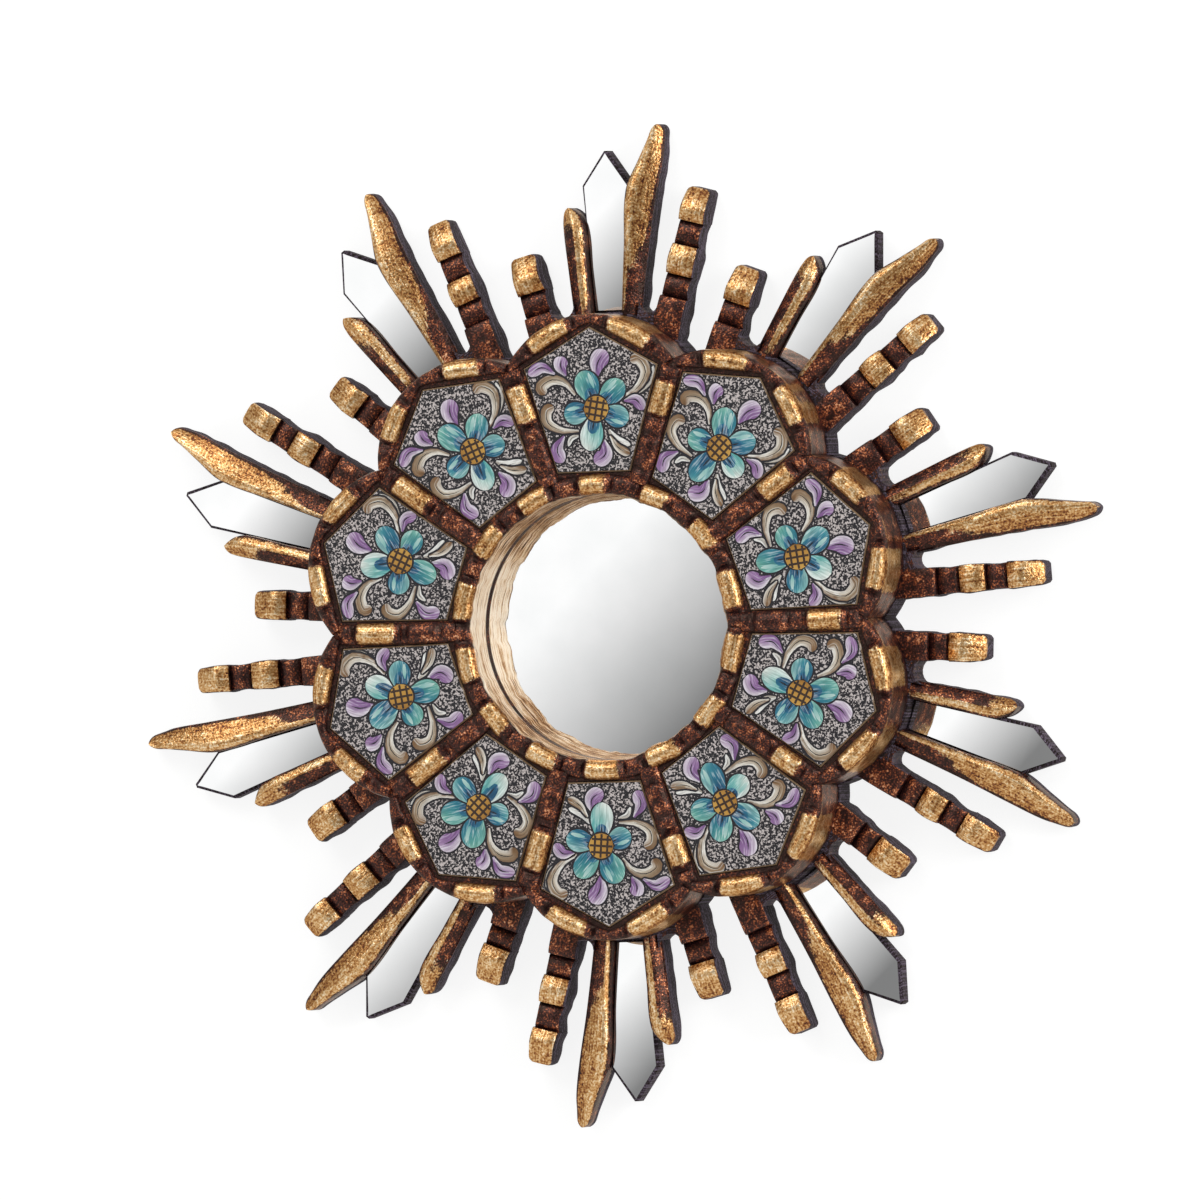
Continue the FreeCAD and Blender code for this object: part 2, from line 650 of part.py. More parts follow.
# Toothed hanger: a bent strip nailed in the recess of the board, below the wall face.
hanger = new_body("sawtooth_hanger", "recess_deep")
bent = [
    ("-hanger_half", "0"),
    ("-hanger_tab", "0"),
    ("-hanger_bridge", "hanger_lift"),
    ("hanger_bridge", "hanger_lift"),
    ("hanger_tab", "0"),
    ("hanger_half", "0"),
    ("hanger_half", "hanger_thick"),
    ("hanger_tab", "hanger_thick"),
    ("hanger_bridge", "hanger_lift + hanger_thick"),
    ("-hanger_bridge", "hanger_lift + hanger_thick"),
    ("-hanger_tab", "hanger_thick"),
    ("-hanger_half", "hanger_thick"),
]
pad(hanger, "bent_strip", cross_sketch(hanger, "strip_bend", "hanger_low", bent), "hanger_high")
hole_sketch = front_sketch(hanger, "nail_hole_outline_hanger")
for side in ("-", ""):
    add_circle(hole_sketch, "nail_radius + nail_play", f"{side}nail_spread", "hanger_low + nail_up")
pocket(hanger, "hanger_nail_holes", hole_sketch, "2 * hanger_thick")
first_notch = f"-{(HANGER_NOTCHES - 1) / 2} * notch_width"
notch_outline = [
    (f"{first_notch} - notch_width / 2", "hanger_low"),
    (first_notch, "hanger_low + notch_deep"),
    (f"{first_notch} + notch_width / 2", "hanger_low"),
]
notch_sketch = front_sketch(hanger, "notch_outline", notch_outline)
notch = pocket(hanger, "notch", notch_sketch, "2 * (hanger_lift + hanger_thick)")
notches = hanger.newObject("PartDesign::LinearPattern", "notches")
notches.Originals = [notch]
notches.Direction = (origin_part(hanger, "X_Axis"), [""])
notches.Occurrences = HANGER_NOTCHES
bind(notches, "Length", f"{HANGER_NOTCHES - 1} * notch_width")
hanger.Tip = notches
nodes.append(hanger)

# Two nails through the tabs of the hanger.
nails = []
for name, side in (("left_nail", "-"), ("right_nail", "")):
    pieces = []
    for part_name, radius, length, back in (
        ("head", "nail_head", "nail_head_thick", "recess_deep - hanger_thick - nail_head_thick"),
        ("shank", "nail_radius", "nail_length + hanger_thick", "recess_deep - hanger_thick"),
    ):
        rod = doc.addObject("Part::Cylinder", f"{name}_{part_name}")
        bind(rod, "Radius", radius)
        bind(rod, "Height", length)
        rod.Placement.Rotation = FreeCAD.Rotation(FreeCAD.Vector(1, 0, 0), 90)
        bind(rod, "Placement.Base.x", f"{side}nail_spread")
        bind(rod, "Placement.Base.y", f"-({back})")
        bind(rod, "Placement.Base.z", "hanger_low + nail_up")
        pieces.append(rod)
    nail = doc.addObject("Part::MultiFuse", name)
    nail.Shapes = pieces
    nails.append(nail)
pair = doc.addObject("Part::Compound", "hanger_nails")
pair.Links = nails
nodes.append(pair)
doc.recompute()

for item in doc.Objects:
    if "Invalid" in item.State or "Error" in item.State:
        raise RuntimeError(f"{item.Name}: {item.State}")
os.makedirs("parts", exist_ok=True)
for node in nodes:
    shape = node.Shape
    if shape.isNull() or not shape.isValid() or not shape.Solids:
        raise RuntimeError(f"{node.Label}: bad shape")
    shape.exportStep(f"parts/{node.Label}.step")
    print(node.Label, len(shape.Solids), round(shape.Volume))
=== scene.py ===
import math

import bmesh
import bpy
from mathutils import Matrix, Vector, geometry, noise


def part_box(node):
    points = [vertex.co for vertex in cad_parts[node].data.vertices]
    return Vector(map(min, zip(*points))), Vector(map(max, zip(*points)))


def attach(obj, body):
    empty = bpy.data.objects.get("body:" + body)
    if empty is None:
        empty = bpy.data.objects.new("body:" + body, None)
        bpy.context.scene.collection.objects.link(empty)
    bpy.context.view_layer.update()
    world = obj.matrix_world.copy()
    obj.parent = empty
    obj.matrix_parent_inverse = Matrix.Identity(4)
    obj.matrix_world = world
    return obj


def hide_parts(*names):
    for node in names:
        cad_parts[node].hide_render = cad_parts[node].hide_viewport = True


# Sunburst wall mirror: carved rays and ring under bronze leaf, mirror strips, a round mirror
# and ten panes of glass painted on the back. Sizes are millimetres, turned to metres by spot().
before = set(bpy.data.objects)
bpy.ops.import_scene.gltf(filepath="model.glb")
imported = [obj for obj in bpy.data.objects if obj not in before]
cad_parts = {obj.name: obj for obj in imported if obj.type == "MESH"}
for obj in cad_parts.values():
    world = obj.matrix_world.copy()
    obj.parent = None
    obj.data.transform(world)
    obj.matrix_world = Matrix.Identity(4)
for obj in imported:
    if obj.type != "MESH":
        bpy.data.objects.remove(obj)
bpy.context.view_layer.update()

MM = 0.001
GROUPS = 10
STEP = 360 / GROUPS
ROOT = "root"


def front_of(node):
    """How far a node's face stands in front of the wall, in millimetres."""
    return -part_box(node)[0].y / MM


BOARD = front_of("sunburst_board")
STRIP_FACE = front_of("ray_mirror_01")
MIRROR_FACE = front_of("centre_mirror")
PANE_FACE = front_of("painted_pane_01")
LAND = PANE_FACE - 0.35
MIRROR_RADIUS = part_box("centre_mirror")[1].x / MM
TONGUE_TOP = 6.5

LOBE_PITCH = 77.0
LOBE_RADIUS = 37.5
HUB_LIP = 0.4
WELL_RADIUS = 48.8

STRIP_IN = 115.6
STRIP_IN_HALF = 5.3
STRIP_SHOULDER = 161.0
STRIP_SHOULDER_HALF = 8.3
STRIP_TIP = 173.0
STRIP_GAP = 0.5

PANE_APEX = 109.6
PANE_SHOULDER = 94.9
PANE_SHOULDER_HALF = 25.6
PANE_BASE = 56.4
PANE_BASE_HALF = 13.9
PANE_THICK = 2.4
PANE_BEVEL = 0.5


# Small helpers


def spot(turn, across, along, high):
    """A place in a ray group that is turned clockwise from the top, in metres."""
    angle = math.radians(turn)
    x = across * math.cos(angle) + along * math.sin(angle)
    z = along * math.cos(angle) - across * math.sin(angle)
    return Vector((x, -high, z)) * MM


def flat_spot(turn, across, along):
    """The same place seen from the front, in millimetres."""
    place = spot(turn, across, along, 0) / MM
    return Vector((place.x, place.z))


def ease(low, high, value):
    """Soft step from 0 at low to 1 at high."""
    share = min(max((value - low) / (high - low), 0.0), 1.0)
    return share * share * (3 - 2 * share)


def blend(first, second, share):
    """Row of numbers that lies a share of the way from the first row to the second."""
    return tuple(a + (b - a) * share for a, b in zip(first, second))


def wander(along, seed, length=9.0):
    """Slow unevenness of hand work along an edge, about -0.6 to 0.6 of the hand's play."""
    return noise.noise(Vector((along / length, seed * 7.31, seed * 1.77)))


def steps(low, high, pitch):
    """Evenly spaced values from low to high, about pitch apart."""
    count = max(1, math.ceil((high - low) / pitch))
    return [low + (high - low) * i / count for i in range(count + 1)]


def through(stations, along):
    """Smooth curve through rows of numbers whose first number is the place along the piece."""
    last = len(stations) - 1
    i = min(max(sum(row[0] <= along for row in stations) - 1, 0), last - 1)
    before, here, there, after = (stations[min(max(j, 0), last)] for j in range(i - 1, i + 3))
    span = there[0] - here[0]
    t = (along - here[0]) / span
    result = []
    for a, b, c, d in zip(before[1:], here[1:], there[1:], after[1:]):
        leave = (c - a) * span / (there[0] - before[0])
        arrive = (d - b) * span / (after[0] - here[0])
        result.append(
            (2 * t**3 - 3 * t**2 + 1) * b
            + (t**3 - 2 * t**2 + t) * leave
            + (3 * t**2 - 2 * t**3) * c
            + (t**3 - t**2) * arrive
        )
    return result


def band(one, two):
    """Four-sided faces between two closed rings of points."""
    count = len(one)
    return [[one[i], one[(i + 1) % count], two[(i + 1) % count], two[i]] for i in range(count)]


def lay(mesh, name, kind, domain, values):
    """Lay a colour or a vector on the points or corners of a mesh, for its material to read."""
    for item, value in zip(mesh.attributes.new(name, kind, domain).data, values):
        setattr(item, "color" if kind == "FLOAT_COLOR" else "vector", value)


class Carving:
    """Points, faces, finish and grain of a carved piece, gathered before its mesh is made.

    A finish is (leaf, flank, wash, tone): bronze leaf, slate paint and gold wash over the bare
    red-brown ground, and how bright they are, painted highlights and painted shade included.
    around the piece in millimetres, so that streaks follow the carving.
    """

    def __init__(self):
        self.points = []
        self.finishes = []
        self.grains = []
        self.faces = []

    def add_points(self, row, grains):
        """Add a row of (place, finish) and give the numbers of its points."""
        first = len(self.points)
        self.points += [place for place, _ in row]
        self.finishes += [finish for _, finish in row]
        self.grains += grains
        return list(range(first, len(self.points)))

    def skin(self, rows, around=False):
        """Join rows of (place, finish) into a tube; around joins its ends, else they are capped."""
        # Each tube draws its streaks from a layer of its own
        layer = 0.37 * len(self.points)
        along = 0.0
        before = rows[0]
        rings = []
        crest = len(rows[0]) // 2
        for row in rows:
            along += (row[crest][0] - before[crest][0]).length / MM
            before = row
            girths = [0.0]
            for (one, _), (two, _) in zip(row, row[1:]):
                girths.append(girths[-1] + (two - one).length / MM)
            grains = [(along, girth - girths[crest], layer) for girth in girths]
            rings.append(self.add_points(row, grains))
        pairs = list(zip(rings, rings[1:]))
        if around:
            pairs.append((rings[-1], rings[0]))
        else:
            self.faces += [rings[0][::-1], rings[-1]]
        for one, two in pairs:
            self.faces += band(one, two)

    def plate(self, turn, outline, low, high, finish, holes=()):
        """A flat plate with straight sides; the holes go right through it."""
        loops = [outline, *holes]
        corners = [(x, y) for loop in loops for x, y in loop]
        grains = [(x, y, 0.0) for x, y in corners]
        flat = geometry.tessellate_polygon([[Vector((x, y, 0)) for x, y in loop] for loop in loops])
        start = len(self.points)
        for level in (low, high):
            index = self.add_points([(spot(turn, x, y, level), finish) for x, y in corners], grains)
            self.faces += [[index[i] for i in face] for face in flat]
        for loop in loops:
            back = range(start, start + len(loop))
            self.faces += band(back, [i + len(corners) for i in back])
            start += len(loop)

    def build(self, name, material, sharp):
        """Make the piece; edges that bend by more than sharp degrees stay crisp."""
        mesh = bpy.data.meshes.new(name)
        mesh.from_pydata(self.points, [], self.faces)
        lay(mesh, "finish", "FLOAT_COLOR", "POINT", self.finishes)
        lay(mesh, "grain", "FLOAT_VECTOR", "POINT", self.grains)
        shape = bmesh.new()
        shape.from_mesh(mesh)
        bmesh.ops.recalc_face_normals(shape, faces=shape.faces)
        shape.to_mesh(mesh)
        shape.free()
        mesh.shade_smooth()
        mesh.set_sharp_from_angle(angle=math.radians(sharp))
        return new_piece(name, mesh, material)


def new_piece(name, mesh, material):
    """Put a mesh of one material into the scene."""
    mesh.materials.append(material)
    piece = bpy.data.objects.new(name, mesh)
    bpy.context.scene.collection.objects.link(piece)
    return piece


def stand_for(piece, slot, *nodes):
    """Let a dressed piece take the place of its solids on the one body."""
    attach(piece, ROOT)
    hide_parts(*nodes)


# Materials


def colour(code):
    """Linear colour of an sRGB hex value."""
    parts = [int(code[i : i + 2], 16) / 255 for i in (1, 3, 5)]
    return (*(p / 12.92 if p <= 0.04045 else ((p + 0.055) / 1.055) ** 2.4 for p in parts), 1.0)


def add(tree, kind, links=None, stops=(), out=0, **settings):
    """Add a node with its settings, its inputs or links and its colour stops; gives one output."""
    made = tree.nodes.new("ShaderNode" + kind)
    for name, setting in settings.items():
        setattr(made, name, setting)
    for i, (place, code) in enumerate(stops):
        ramp = made.color_ramp.elements
        stop = ramp[i] if i < 2 else ramp.new(place)
        stop.position = place
        stop.color = colour(code)
    for socket, source in (links or {}).items():
        if isinstance(source, bpy.types.NodeSocket):
            tree.links.new(source, made.inputs[socket])
        else:
            made.inputs[socket].default_value = source
    return made.outputs[out] if made.outputs else None


def new_material(name):
    """A new material with its node tree and its shader."""
    material = bpy.data.materials.new(name)
    material.use_nodes = True
    tree = material.node_tree
    return material, tree, tree.nodes["Principled BSDF"]


def per_metre(millimetres):
    """Texture scale that repeats about once in a length."""
    return 1 / (millimetres * MM)


# Grit and flecks of real leaf are finer than this; they are drawn as coarse as they need to show
GRIT = 0.8
FLECK = 0.65
WORN_PATCH = 4.0
STREAK_WIDTH = 0.6
STREAK_DRAW = 0.045
LUMP = 0.4
# Colours of each coat from its darkest to its lightest texture
GROUND_HUES = [(0.52, "#221214"), (0.6, "#3E2223"), (0.66, "#6C3728"), (0.72, "#B6683E"), (0.8, "#F2C49C")]
LEAF_HUES = [(0.58, "#402523"), (0.66, "#7C4A2C"), (0.75, "#B27F48"), (0.85, "#D9B27E"), (0.97, "#F6E6C8")]
WASH_HUES = [(0.42, "#3C2212"), (0.55, "#7E522C"), (0.66, "#B4865A"), (0.79, "#E6C8A0"), (0.96, "#FBEFDC")]
SLATE_HUES = [(0.42, "#0C090E"), (0.5, "#2A232F"), (0.58, "#625868")]
LEAF_SHEEN = "#EFD4B4"


def leafed_wood():
    """Bronze leaf over carved cedar on a red-brown ground, rubbed and toned.

    The eye gets soft brown-gold metal on the raised blocks, copper specks in the dark glossy
    ground of the hollows, slate paint on the sawn sides and a streaky gold wash on the walls.
    """
    material, tree, shader = new_material("bronze_leaf_on_carved_wood")
    finish = add(tree, "Attribute", out="Color", attribute_name="finish")
    # The tone carries painted highlights and painted shade as well as each finish's own brightness
    tone = finish.node.outputs["Alpha"]
    leaf = add(tree, "SeparateColor", {0: finish}, out="Red")
    flank = leaf.node.outputs["Green"]
    wash = leaf.node.outputs["Blue"]
    place = add(tree, "TexCoord", out="Object")
    grain = add(tree, "Attribute", out="Vector", attribute_name="grain")
    drawn_out = add(tree, "VectorMath", {0: grain, 1: (STREAK_DRAW, 1, 1)}, operation="MULTIPLY")
    grit, fleck, patch = (
        add(tree, "TexNoise", {"Vector": place, "Scale": per_metre(size), "Detail": 2.5})
        for size in (GRIT, FLECK, WORN_PATCH)
    )
    streak = add(tree, "TexNoise", {"Vector": drawn_out, "Scale": 1 / STREAK_WIDTH, "Detail": 3})
    # Every mask and colour below is a weighted sum of these three textures and a share of the finish
    textures = add(tree, "CombineXYZ", {0: patch, 1: streak, 2: grit})
    sums = {}
    for name, part, share, weights in (
        ("hold", leaf, 1.0, (0.75, 0.35, 0.7)),
        ("glow", tone, 0.5, (0.25, 0.34, 0.6)),
        ("pale", tone, 0.6, (-0.5, 1.6, 0.1)),
        ("paint", flank, 1.0, (0.0, 0.0, 0.5)),
        ("slate", None, 0.0, (0.0, 0.6, 0.4)),
        ("lumps", None, 0.0, (0.9, 0.2, 0.8)),
    ):
        total = add(tree, "VectorMath", {0: textures, 1: weights}, out="Value", operation="DOT_PRODUCT")
        if part:
            total = add(tree, "Math", {0: part, 1: share, 2: total}, operation="MULTIPLY_ADD")
        sums[name] = total
    held, painted = (
        add(
            tree,
            "MapRange",
            {"Value": sums[name], "From Min": low, "From Max": high},
            interpolation_type="SMOOTHSTEP",
        )
        for name, low, high in (("hold", 1.45, 1.7), ("paint", 0.68, 0.84))
    )
    flecks = add(tree, "Mix", {0: 0.4, 2: fleck, 3: patch})
    specks = add(tree, "Math", {0: tone, 1: 0.3, 2: flecks}, operation="MULTIPLY_ADD")
    base, *coats = (
        add(tree, "ValToRGB", {"Fac": value}, stops)
        for value, stops in (
            (specks, GROUND_HUES),
            (sums["glow"], LEAF_HUES),
            (sums["pale"], WASH_HUES),
            (sums["slate"], SLATE_HUES),
        )
    )
    for share, coat in zip((held, wash, painted), coats):
        base = add(tree, "Mix", {0: share, 6: base, 7: coat}, out=2, data_type="RGBA")
    covers = add(tree, "CombineXYZ", {0: held, 1: painted, 2: wash})
    for socket, ground, weights in (
        ("Metallic", 0.4, (0.4, -0.8, 0.0)),
        ("Roughness", 0.31, (-0.02, 0.55, 0.3)),
    ):
        change = add(tree, "VectorMath", {0: covers, 1: weights}, out="Value", operation="DOT_PRODUCT")
        total = add(tree, "Math", {0: change, 1: ground}, operation="ADD")
        tree.links.new(total, shader.inputs[socket])
    lumps = add(tree, "Bump", {"Height": sums["lumps"], "Strength": 0.7, "Distance": LUMP * MM})
    tree.links.new(base, shader.inputs["Base Color"])
    tree.links.new(lumps, shader.inputs["Normal"])
    # Leaf keeps its warm colour where it is seen at a slant
    shader.inputs["Specular Tint"].default_value = colour(LEAF_SHEEN)
    return material


SPECKLE = 0.66
# A real brush draws finer hair lines; these are as coarse as they need to show
BRUSH_HAIR = 0.55
HAND_SMEAR = 14.0
THIN_PAINT = "#E8EFEC"


def painted_glass():
    """Window glass painted on its back: a glossy face over brush strokes and a speckled ground."""
    material, tree, shader = new_material("reverse_painted_glass")
    paint = add(tree, "Attribute", out="Color", attribute_name="paint")
    place = add(tree, "TexCoord", out="Object")
    brush = add(tree, "Attribute", out="Vector", attribute_name="brush")
    worms, hair, smear = (
        add(tree, "TexNoise", {"Vector": way, "Scale": scale, "Detail": 3})
        for way, scale in (
            (place, per_metre(SPECKLE)),
            (brush, 1 / BRUSH_HAIR),
            (place, per_metre(HAND_SMEAR)),
        )
    )
    speckle = add(tree, "ValToRGB", {"Fac": worms}, [(0.515, "#131016"), (0.565, "#C6BDBA")])
    thick, thin = (
        add(
            tree,
            "MapRange",
            {"Value": hair, "From Min": low, "From Max": high, "To Min": first, "To Max": last},
        )
        for low, high, first, last in ((0.3, 0.6, 0.62, 1.05), (0.53, 0.76, 0.0, 0.7))
    )
    shaded = add(
        tree, "Mix", {0: 1.0, 6: paint, 7: thick}, out=2, data_type="RGBA", blend_type="MULTIPLY"
    )
    strokes = add(tree, "Mix", {0: thin, 6: shaded, 7: colour(THIN_PAINT)}, out=2, data_type="RGBA")
    covered = paint.node.outputs["Alpha"]
    base = add(tree, "Mix", {0: covered, 6: speckle, 7: strokes}, out=2, data_type="RGBA")
    rough = add(tree, "MapRange", {"Value": smear, "To Min": 0.15, "To Max": 0.35})
    tree.links.new(base, shader.inputs["Base Color"])
    tree.links.new(rough, shader.inputs["Roughness"])
    shader.inputs["IOR"].default_value = 1.5
    return material


CLOUD = 25.0


def silvered_glass():
    """Sheet glass silvered behind: a clear mirror, faintly clouded by handling."""
    material, tree, shader = new_material("silvered_mirror_glass")
    place = add(tree, "TexCoord", out="Object")
    cloud = add(tree, "TexNoise", {"Vector": place, "Scale": per_metre(CLOUD), "Detail": 3})
    tint = add(tree, "ValToRGB", {"Fac": cloud}, [(0.3, "#F4F5F5"), (0.7, "#FDFDFD")])
    rough = add(tree, "MapRange", {"Value": cloud, "To Min": 0.01, "To Max": 0.04})
    tree.links.new(tint, shader.inputs["Base Color"])
    tree.links.new(rough, shader.inputs["Roughness"])
    shader.inputs["Metallic"].default_value = 1.0
    return material


CRYSTAL = 2.2
SCUFF = 0.6


def zinc_steel():
    """Pressed steel strip under a dull zinc plate, with cloudy crystals and fine scuffs."""
    material, tree, shader = new_material("zinc_plated_steel")
    place = add(tree, "TexCoord", out="Object")
    crystals = add(tree, "TexVoronoi", {"Vector": place, "Scale": per_metre(CRYSTAL)}, out="Color")
    shade = add(tree, "ValToRGB", {"Fac": crystals}, [(0.1, "#8C8C88"), (0.9, "#B9B9B4")])
    scuff = add(tree, "TexNoise", {"Vector": place, "Scale": per_metre(SCUFF), "Detail": 2})
    rough = add(tree, "MapRange", {"Value": scuff, "To Min": 0.3, "To Max": 0.6})
    tree.links.new(shade, shader.inputs["Base Color"])
    tree.links.new(rough, shader.inputs["Roughness"])
    shader.inputs["Metallic"].default_value = 1.0
    return material


# Finishes of the carved wood, as (leaf, flank, wash, tone)
SLATE = (0.0, 1.0, 0.0, 0.4)
DARK = (-0.3, 0.0, 0.0, 0.14)
COPPER = (0.22, 0.0, 0.0, 0.36)
GOLD = (1.0, 0.0, 0.0, 0.32)
# Leaf toned lighter as a painted highlight on crowns, ridges and rims
LEAF_PAINTED_HIGHLIGHT = (1.05, 0.0, 0.0, 0.44)
# Leaf toned darker as painted shade on the sides of mouldings and the outer faces of blades
LEAF_PAINTED_SHADE = (0.9, 0.0, 0.0, 0.16)
# Leaf of the ring's outer walls, toned lighter than GOLD as painted light on these side-facing walls
OUTER_WALL_PAINTED_LIGHT = (0.95, 0.0, 0.0, 0.42)
# Gold wash of the well wall, lighter as painted light and darker as painted shade
WELL_PAINTED_LIT = (0.0, 0.0, 1.0, 0.56)
WELL_PAINTED_SHADE = (0.0, 0.0, 1.0, 0.1)


# Rays

# Backs and tops of pieces that cross lie a hair apart, so that no two faces share a plane
RAY_BACK = 0.12
TONGUE_BACK = 0.2
WEB_BACK = 0.28
HUB_TOP = BOARD - 0.3

ROW_PITCH = 0.8
RAY_ROOT = 100.0
ROOT_CROWN = 1.4
REEL_FLOOR = 10.0
REEL_CROWN = 2.2
BEAD_EDGE = 12.4
BEAD_CROWN = 1.5
FACET_END = 9.6
END_CREST = 0.36
END_CORNER = 1.8
TWIN = {
    "lean": 15.0,
    "shift": -6.3,
    "halves": (5.6, 4.6),
    "parts": [("block", 122.0), ("reel", 130.5), ("bead", 140.5), ("reel", 149.5), ("end", 163.0)],
}
SINGLE = {
    "lean": -15.0,
    "shift": 4.6,
    "halves": (5.6, 5.0),
    "parts": [("block", 118.0), ("reel", 126.0), ("end", 140.0)],
}


def bead_top(part, share):
    """Height, extra half width and finish of a bead ray, by the part and the share along it."""
    swell = math.sin(math.pi * share)
    if part == "block":
        return BEAD_EDGE + ROOT_CROWN * math.sqrt(max(1 - share**10, 0)), 0.0, COPPER
    # A reel is darkest in its grooves and copper at its crown: painted shade and a painted highlight
    if part == "reel":
        return REEL_FLOOR + REEL_CROWN * swell**0.6, -0.4 * swell, blend(DARK, COPPER, swell)
    # A bead, and below it an end, is toned lighter at its crest: a painted highlight
    if part == "bead":
        return BEAD_EDGE + BEAD_CROWN * swell**0.75, 0.25 * swell, blend(GOLD, LEAF_PAINTED_HIGHLIGHT, swell)
    rise = math.sin(math.pi / 2 * min(share / END_CREST, 1))
    slope = max(share - END_CREST, 0) / (1 - END_CREST)
    high = BEAD_EDGE + BEAD_CROWN * rise
    high += (FACET_END - high) * slope**1.4
    return high, 0.2 - 0.3 * slope, blend(blend(GOLD, LEAF_PAINTED_HIGHLIGHT, rise), GOLD, ease(0, 0.8, slope))


def bead_ray(carving, turn, seed, lean, shift, halves, parts):
    """A leaning ray carved into a root block, reels and beads, with a sloped end facet."""
    turn += lean + 0.8 * wander(seed, 3)
    end = parts[-1][1]
    start = RAY_ROOT
    rows = []
    for number, (part, stop) in enumerate(parts):
        last = part == "end"
        stop += 0.0 if last else 1.6 * wander(seed * 3.7 + number * 5, 11)
        for along in steps(start + 0.1, stop - 0.1, ROW_PITCH):
            high, extra, finish = bead_top(part, (along - start) / (stop - start))
            share = (along - RAY_ROOT) / (end - RAY_ROOT)
            half = halves[0] + (halves[1] - halves[0]) * share + extra
            corner = max(along - (end - END_CORNER), 0)
            half -= END_CORNER - math.sqrt(max(END_CORNER**2 - corner**2, 0)) if last else 0
            rows.append(bead_section(turn, shift, along, half, high, finish, seed))
        start = stop
    carving.skin(rows)


def bead_section(turn, shift, along, half, high, finish, seed):
    """Section across a bead ray: sawn sides, a broken arris and a slightly crowned top."""
    row = []
    for side in (-1, 1):
        saw = 0.5 * wander(along, seed + side, 7)
        foot = 0.7 * wander(along, seed + 2 * side, 5)
        edge = half + 0.3 * saw
        points = [
            (edge + foot - 0.2, RAY_BACK, SLATE),
            (edge + saw, 0.45 * high, SLATE),
            (edge, high - 1.1, SLATE),
            (edge - 0.2, high - 0.4, blend(SLATE, finish, 0.6)),
            (edge - 0.9, high - 0.02, finish),
            (0.45 * edge, high + 0.22, finish),
        ]
        half_row = [(spot(turn, shift + side * x, along, y), f) for x, y, f in points]
        row.append(half_row if side < 0 else half_row[::-1])
    top = (spot(turn, shift, along, high + 0.3), finish)
    return [*row[0], top, *row[1]]


def strip_edge(along):
    """Half width of the bed of a mirror strip, with its gap."""
    slope = (STRIP_SHOULDER_HALF - STRIP_IN_HALF) / (STRIP_SHOULDER - STRIP_IN)
    return STRIP_IN_HALF + (along - STRIP_IN) * slope + STRIP_GAP


BLADE_ROOT = 103.0
TIP_ROUND = 3.2
WIDE_FALL = 3.0
NARROW_FALL = 1.5
# A blade narrower than this falls less towards its sides
FULL_WIDTH = 7.0
# The bare outer edge of a blade gets narrower towards its tip
BARE_GIVE = 0.17
BARE_GIVE_ALONG = (118, 158)
# Stations are (along, inner edge, outer edge, height)
LONG_BLADE = {
    "stations": [
        (BLADE_ROOT, strip_edge(BLADE_ROOT), 11.4, BOARD),
        (139.0, strip_edge(139.0), 16.6, BOARD),
        (STRIP_SHOULDER, strip_edge(STRIP_SHOULDER), 20.4, BOARD),
        (173.0, 13.6, 22.6, 11.8),
        (181.0, 17.0, 23.0, 10.0),
        (185.3, 18.2, 23.0, 9.0),
    ],
    "ridge": 0.2,
    "ridge_highlight_from": 114,
    "gold_from": 124,
    "lag": 12,
    "bare_edge": 0.66,
    "web_out": 13.6,
}
SHORT_BLADE = {
    "stations": [
        (BLADE_ROOT, strip_edge(BLADE_ROOT), 11.6, BOARD),
        (130.0, strip_edge(130.0), 14.4, BOARD),
        (147.0, strip_edge(147.0), 16.0, BOARD - 0.4),
        (153.5, 11.6, 16.2, 10.6),
    ],
    "ridge": 0.42,
    "ridge_highlight_from": 118,
    "gold_from": 138,
    "lag": 0,
    "bare_edge": 0.9,
    "web_out": 13.0,
}
# How much shorter each hand-cut long blade is than the longest
TIP_BACK = [2.4, 1.0, 0.0, 0.0, 1.0, 2.4, 1.0, 0.0, 0.0, 1.0]


def blade_section(style, along, inner, outer, high, seed):
    """Section of a blade as (across, height, finish): painted highlight along the ridge, rounded face
    falling to painted shade, sawn sides.
    """
    width = outer - inner
    size = min(1, width / FULL_WIDTH)
    ridge = inner + width * style["ridge"]
    drop = NARROW_FALL * size
    fall = WIDE_FALL * size
    saw = 0.45 * wander(along, seed, 6)
    ridge_highlight_from = style["ridge_highlight_from"] + 6 * wander(seed, 12)
    # Along the ridge the copper root turns to a painted highlight
    streak = blend(COPPER, LEAF_PAINTED_HIGHLIGHT, ease(ridge_highlight_from - 9, ridge_highlight_from + 9, along))
    gold_from = style["gold_from"] + 8 * wander(seed, 13)
    bare_edge = style["bare_edge"] + BARE_GIVE * ease(*BARE_GIVE_ALONG, along)
    points = [
        (inner, RAY_BACK, SLATE),
        (inner, high - drop - 2.5, DARK),
        (inner + 0.1, high - drop - 0.2, blend(DARK, streak, 0.5)),
        (inner + 0.45 * (ridge - inner), high - 0.4 * drop, streak),
        (ridge, high, streak),
    ]
    for share in (0.12, 0.28, 0.44, 0.6, 0.74, 0.87, 1.0):
        gold = ease(gold_from - 6, gold_from + 14, along - style["lag"] * share)
        bare = ease(bare_edge, bare_edge + 0.2, share)
        # The face carries a painted highlight near the ridge and painted shade towards its outer edge
        face = blend(blend(LEAF_PAINTED_HIGHLIGHT, GOLD, ease(0.1, 0.4, share)), LEAF_PAINTED_SHADE, 0.65 * ease(0.4, 1, share))
        finish = blend(blend(COPPER, DARK, bare), face, gold * (1 - bare))
        points.append((ridge + (outer - 0.15 - ridge) * share, high - fall * share**1.5, finish))
    points += [
        (outer, high - fall - 0.5, blend(SLATE, DARK, 0.5)),
        (outer + saw, 0.45 * high, SLATE),
        (outer - 0.2 + 1.2 * saw, RAY_BACK, SLATE),
    ]
    return points


